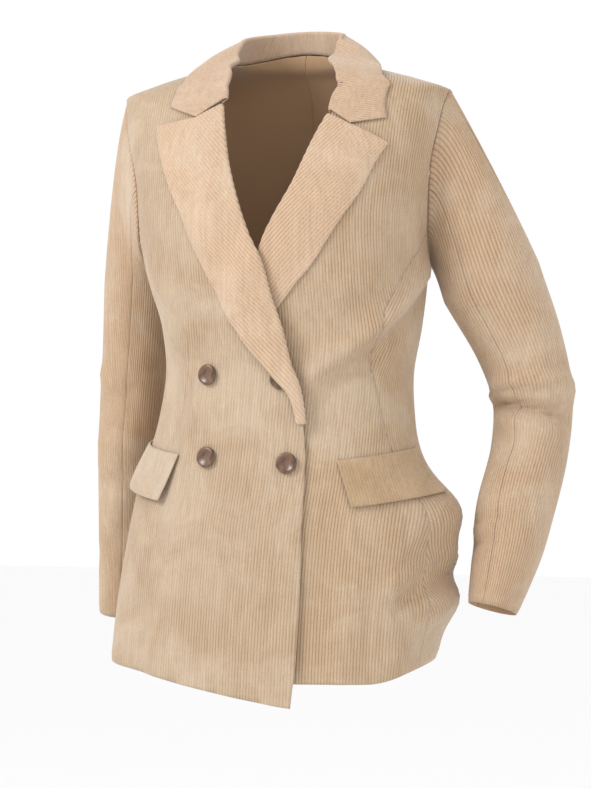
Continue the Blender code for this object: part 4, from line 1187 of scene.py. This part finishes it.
def corduroy(name, pile, groove_shade, brushed_and_sheen, patches_at=(0.42, 0.64)):
    """Brushed cotton corduroy: soft matt ribs of cut pile, with painted shade in the grooves between
    them.
    """
    material = bpy.data.materials.new(name)
    material.use_nodes = True
    tree = material.node_tree
    shader = tree.nodes["Principled BSDF"]
    where = node(tree, "ShaderNodeTexCoord").outputs["Object"]
    height = node(tree, "ShaderNodeAttribute", attribute_name="pile").outputs["Fac"]
    # Patches of brushed pile, lighter and greyer: partly the pile's own tone, partly painted sheen
    # where it catches the light.
    patches = node(tree, "ShaderNodeTexNoise", {"Vector": where, "Scale": PATCHES, "Detail": 4.0,
                                                "Roughness": 0.6, "Distortion": 0.6})  # fmt: skip
    low, high = patches_at
    brushed_sheen_mask = node(tree, "ShaderNodeMapRange", {"Value": patches.outputs["Fac"], "From Min": low,
                                                "From Max": high})  # fmt: skip
    streaks = node(tree, "ShaderNodeMapping", {"Vector": where, "Scale": STREAK_SCALE})
    streak = node(tree, "ShaderNodeTexNoise", {"Vector": streaks.outputs["Vector"], "Scale": 1.0,
                                               "Detail": 3.0, "Roughness": 0.7})  # fmt: skip
    tone = mixed(tree, brushed_sheen_mask.outputs["Result"], linear(pile), linear(brushed_and_sheen))
    grain = node(tree, "ShaderNodeTexNoise", {"Vector": where, "Scale": GRAIN, "Detail": 2.0})
    light = node(tree, "ShaderNodeMapRange", {"Value": grain.outputs["Fac"], "From Min": 0.3,
                                              "From Max": 0.7, "To Min": 0.80,
                                              "To Max": 1.14})  # fmt: skip
    shade = node(tree, "ShaderNodeMapRange", {"Value": streak.outputs["Fac"], "From Min": 0.3,
                                              "From Max": 0.7, "To Min": 0.90,
                                              "To Max": 1.08})  # fmt: skip
    both = node(tree, "ShaderNodeMath", {0: light.outputs["Result"], 1: shade.outputs["Result"]},
                operation="MULTIPLY")  # fmt: skip
    tone = mixed(tree, 1.0, tone, both.outputs[0], "MULTIPLY")
    # The ribs' tops keep the pile's tone; towards the grooves it gives way to painted shade.
    rib = node(tree, "ShaderNodeMapRange", {"Value": height, "From Min": 0.0, "From Max": 0.8})
    shaded_groove = mixed(tree, brushed_sheen_mask.outputs["Result"], linear(groove_shade), linear(brushed_and_sheen))
    # In the patches the grooves also take on the painted sheen, by this share.
    shaded_groove = mixed(tree, GROOVE_SHEEN_SHARE, linear(groove_shade), shaded_groove)
    shaded_groove = mixed(tree, 1.0, shaded_groove, both.outputs[0], "MULTIPLY")
    tone = mixed(tree, rib.outputs["Result"], shaded_groove, tone)
    back = node(tree, "ShaderNodeMath", {0: height, 1: -0.5}, operation="LESS_THAN")
    tone = mixed(tree, back.outputs[0], tone, linear(BACKING))
    tree.links.new(tone, shader.inputs["Base Color"])
    bump = node(tree, "ShaderNodeBump", {"Height": grain.outputs["Fac"], "Strength": 0.35,
                                         "Distance": 0.0004})  # fmt: skip
    tree.links.new(bump.outputs["Normal"], shader.inputs["Normal"])
    shader.inputs["Roughness"].default_value = 0.92
    shader.inputs["Specular IOR Level"].default_value = 0.2
    shader.inputs["Sheen Weight"].default_value = 0.35
    shader.inputs["Sheen Roughness"].default_value = 0.45
    return material


def horn():
    """Polished horn: brown and faintly cloudy, with a soft gloss."""
    material = bpy.data.materials.new("horn")
    material.use_nodes = True
    tree = material.node_tree
    shader = tree.nodes["Principled BSDF"]
    where = node(tree, "ShaderNodeTexCoord").outputs["Object"]
    cloud = node(tree, "ShaderNodeTexNoise", {"Vector": where, "Scale": 60.0, "Detail": 2.0,
                                              "Distortion": 0.6})  # fmt: skip
    spot = node(tree, "ShaderNodeMapRange", {"Value": cloud.outputs["Fac"], "From Min": 0.30,
                                             "From Max": 0.75})  # fmt: skip
    tone = mixed(tree, spot.outputs["Result"], linear("#33190f"), linear("#8d6a4c"))
    tree.links.new(tone, shader.inputs["Base Color"])
    shader.inputs["Roughness"].default_value = 0.34
    shader.inputs["Coat Weight"].default_value = 0.25
    shader.inputs["Coat Roughness"].default_value = 0.1
    return material


# ---- the pieces ---------------------------------------------------------------------------------

FRONT_ARC = Arc(0.0, FRONT_REACH)  # shared by both fronts and the lapels


def loop(*edges):
    """A closed outline from edges that follow each other."""
    return [place for edge in edges for place in edge[:-1]]


def show_fronts(over, under):
    for side, low, material, lift_of in (
        ("right", FRONT_CORNER, over, over_lift),
        ("left", UNDER_HEM, under, flat),
    ):
        seam = seam_places(side, "front") + arm_places(side, "front")
        edge = front_edge(side, low)
        hem = hem_places(seam[0][0], edge[0][0], FRONT_COLUMNS)
        if side == "left":
            hem = [(angle, max(height, UNDER_HEM)) for angle, height in hem]
        top = shoulder_seam(side, FRONT_COLUMNS)
        outline = loop(hem, edge, top[::-1], seam[::-1])
        panel("front_" + side, outline, FRONT_ARC, material, lift_of, [DARTS[side]])


def show_sides(material):
    turns = arm_turns()[1]
    for side in ("left", "right"):
        front, back = seam_places(side, "front"), seam_places(side, "back")
        top = [tuple(armhole(side, t)) for t in turns]
        hem = hem_places(front[0][0], back[0][0], SIDE_COLUMNS)
        outline = loop(hem, back, top[::-1], front[::-1])
        middle = SIDE_MIDDLES[side]
        panel("side_" + side, outline, Arc(middle, SIDE_REACH, LEANS[side]), material)


def show_backs(material):
    behind = Arc(180.0, FRONT_REACH)
    for side, sign in (("left", 1), ("right", -1)):
        outer = seam_places(side, "back") + arm_places(side, "back")
        centre_heights = np.linspace(float(hem_height(180)), NAPE, SKIRT_ROWS)
        centre = [(sign * 180.0, float(h)) for h in centre_heights]
        hem = hem_places(outer[0][0], sign * 180.0, FRONT_COLUMNS)
        top = back_top(side, sign)
        outline = np.array(loop(hem, centre, top[::-1], outer[::-1]), float)
        outline[:, 0] = np.where(sign * outline[:, 0] > BACK_SEAM, sign * BACK_SEAM, outline[:, 0])
        panel("back_" + side, outline, behind, material)


def from_left_edge(u, v, wide, points):
    """Ribs along the left edge of a piece."""
    return wide


def slanted(way):
    """Ribs that run down from the shoulder to the buttons, at a constant slope."""

    def across(u, v, wide, points):
        angle, height = form_place(points)
        slope = math.radians(LAPEL_SLOPE)
        return FRONT_ARC.across(angle, height) * math.sin(slope) + way * height * math.cos(slope)

    return across


def evenly(u, v, wide, points):
    """The same number of ribs all the way along."""
    return np.repeat(np.arange(wide.shape[1])[None] * WALE / STEPS_PER_WALE, len(wide), axis=0)


def show_lapels(material):
    across_lapel = {"right": slanted(1), "left": slanted(-1)}
    for side in ("right", "left"):
        surface = lapel_surface(side)
        sheet_of("lapel_" + side, surface, *LAPEL_MESH[side], across_lapel[side], material, FACED_WALL)


def show_collar(material):
    surface, lengthwise = collar_surface()

    def along(u, v, wide, points):
        level = wide[COLLAR_LEVEL : COLLAR_LEVEL + 1]
        return np.repeat(level, len(wide), axis=0) + lengthwise(u, v).reshape(wide.shape)

    sheet_of("collar", surface, *COLLAR_MESH, along, material, FACED_WALL)


def show_sleeves(material):
    for side in ("right", "left"):
        for part, size in SLEEVE_MESH.items():
            surface = sleeve_surface(side, part)
            sheet_of(f"sleeve_{side}_{part}", surface, *size, evenly, material, BODY_WALL)


def show_flaps(materials):
    for side, material in materials.items():
        surface = flap_surface(side)
        sheet_of("pocket_flap_" + side, surface, *FLAP_MESH, from_left_edge, material, FACED_WALL)


def show_buttons(material):
    for name, (angle, height) in BUTTONS.items():
        mesh = bpy.data.meshes.new(name)
        points = [(radius * METRES, 0, rise * METRES) for radius, rise in BUTTON_PROFILE]
        mesh.from_pydata(points, [(k, k + 1) for k in range(len(points) - 1)], [])
        mesh.materials.append(material)
        button = bpy.data.objects.new("visual_" + name, mesh)
        bpy.context.scene.collection.objects.link(button)
        turn = button.modifiers.new("turn", "SCREW")
        turn.steps = turn.render_steps = BUTTON_STEPS
        turn.use_merge_vertices = True
        turn.merge_threshold = BUTTON_WELD
        turn.use_smooth_shade = True
        where = np.array([float(angle)]), np.array([float(height)])
        normal = Vector(form_normal(*where)[0])
        button.location = Vector(on_coat(*where, over_lift(*where) + BUTTON_SEAT)[0]) * METRES
        button.rotation_mode = "QUATERNION"
        button.rotation_quaternion = normal.to_track_quat("Z", "Y")
        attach(button, "root")
        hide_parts(name)


# ---- room, camera and light ---------------------------------------------------------------------


def show_room():
    scene = bpy.context.scene
    scene.view_settings.view_transform = "Standard"
    world = bpy.data.worlds.new("studio")
    scene.world = world
    world.use_nodes = True
    sky = world.node_tree.nodes["Background"]
    sky.inputs["Color"].default_value = (1, 1, 1, 1)
    sky.inputs["Strength"].default_value = 1.0
    bpy.ops.mesh.primitive_plane_add(size=FLOOR_SIZE, location=(0, 0, FLOOR_LEVEL))
    floor = bpy.context.object
    floor.name = "floor"
    plain = bpy.data.materials.new("floor")
    plain.use_nodes = True
    plain.node_tree.nodes["Principled BSDF"].inputs["Base Color"].default_value = linear("#fafafa")
    floor.data.materials.append(plain)
    for name, place, size, power in LAMPS:
        data = bpy.data.lights.new(name, "AREA")
        data.size = size
        data.energy = power
        lamp = bpy.data.objects.new(name, data)
        scene.collection.objects.link(lamp)
        lamp.location = place
        lamp.rotation_mode = "QUATERNION"
        aim = Vector(LAMP_AIM) - Vector(place)
        lamp.rotation_quaternion = aim.to_track_quat("-Z", "Y")
    data = bpy.data.cameras.new("camera")
    data.lens = LENS
    data.sensor_width = SENSOR
    camera = bpy.data.objects.new("camera", data)
    scene.collection.objects.link(camera)
    camera.location = CAMERA
    camera.rotation_mode = "QUATERNION"
    camera.rotation_quaternion = (Vector(TARGET) - Vector(CAMERA)).to_track_quat("-Z", "Y")
    scene.camera = camera


# One corduroy, copied for each piece with its tones moved to paint in how light and the nap's sheen
# fall on that piece: painted light and shade. Colours: pile, painted shade in the grooves, brushed
# patches with painted sheen.
OVER = corduroy("corduroy_over_front", "#b29a80", "#957b61", "#baa68e", (0.36, 0.60))
UNDER = corduroy("corduroy_body", "#b59b7e", "#91775d", "#baa58d")
LAPEL = corduroy("corduroy_lapels", "#c2a58a", "#9e8368", "#c4ac94")
COLLAR_CLOTH = corduroy("corduroy_collar", "#bea288", "#987c62", "#c1aa94")
SLEEVE_CLOTH = corduroy("corduroy_sleeves", "#ba9e82", "#957b60", "#bea88f")
# The flaps: a lit copy with little painted groove shade for the right flap, and a painted shaded copy
# for the left flap.
FLAP_LIT = corduroy("corduroy_right_flap_lit", "#b8a38b", "#ad967d", "#bdac99")
FLAP_SHADED = corduroy("corduroy_left_flap_shaded", "#a88e6f", "#9e8263", "#b2997c")

show_fronts(OVER, UNDER)
show_sides(UNDER)
show_backs(UNDER)
show_lapels(LAPEL)
show_collar(COLLAR_CLOTH)
show_sleeves(SLEEVE_CLOTH)
show_flaps({"right": FLAP_LIT, "left": FLAP_SHADED})
show_buttons(horn())
show_room()
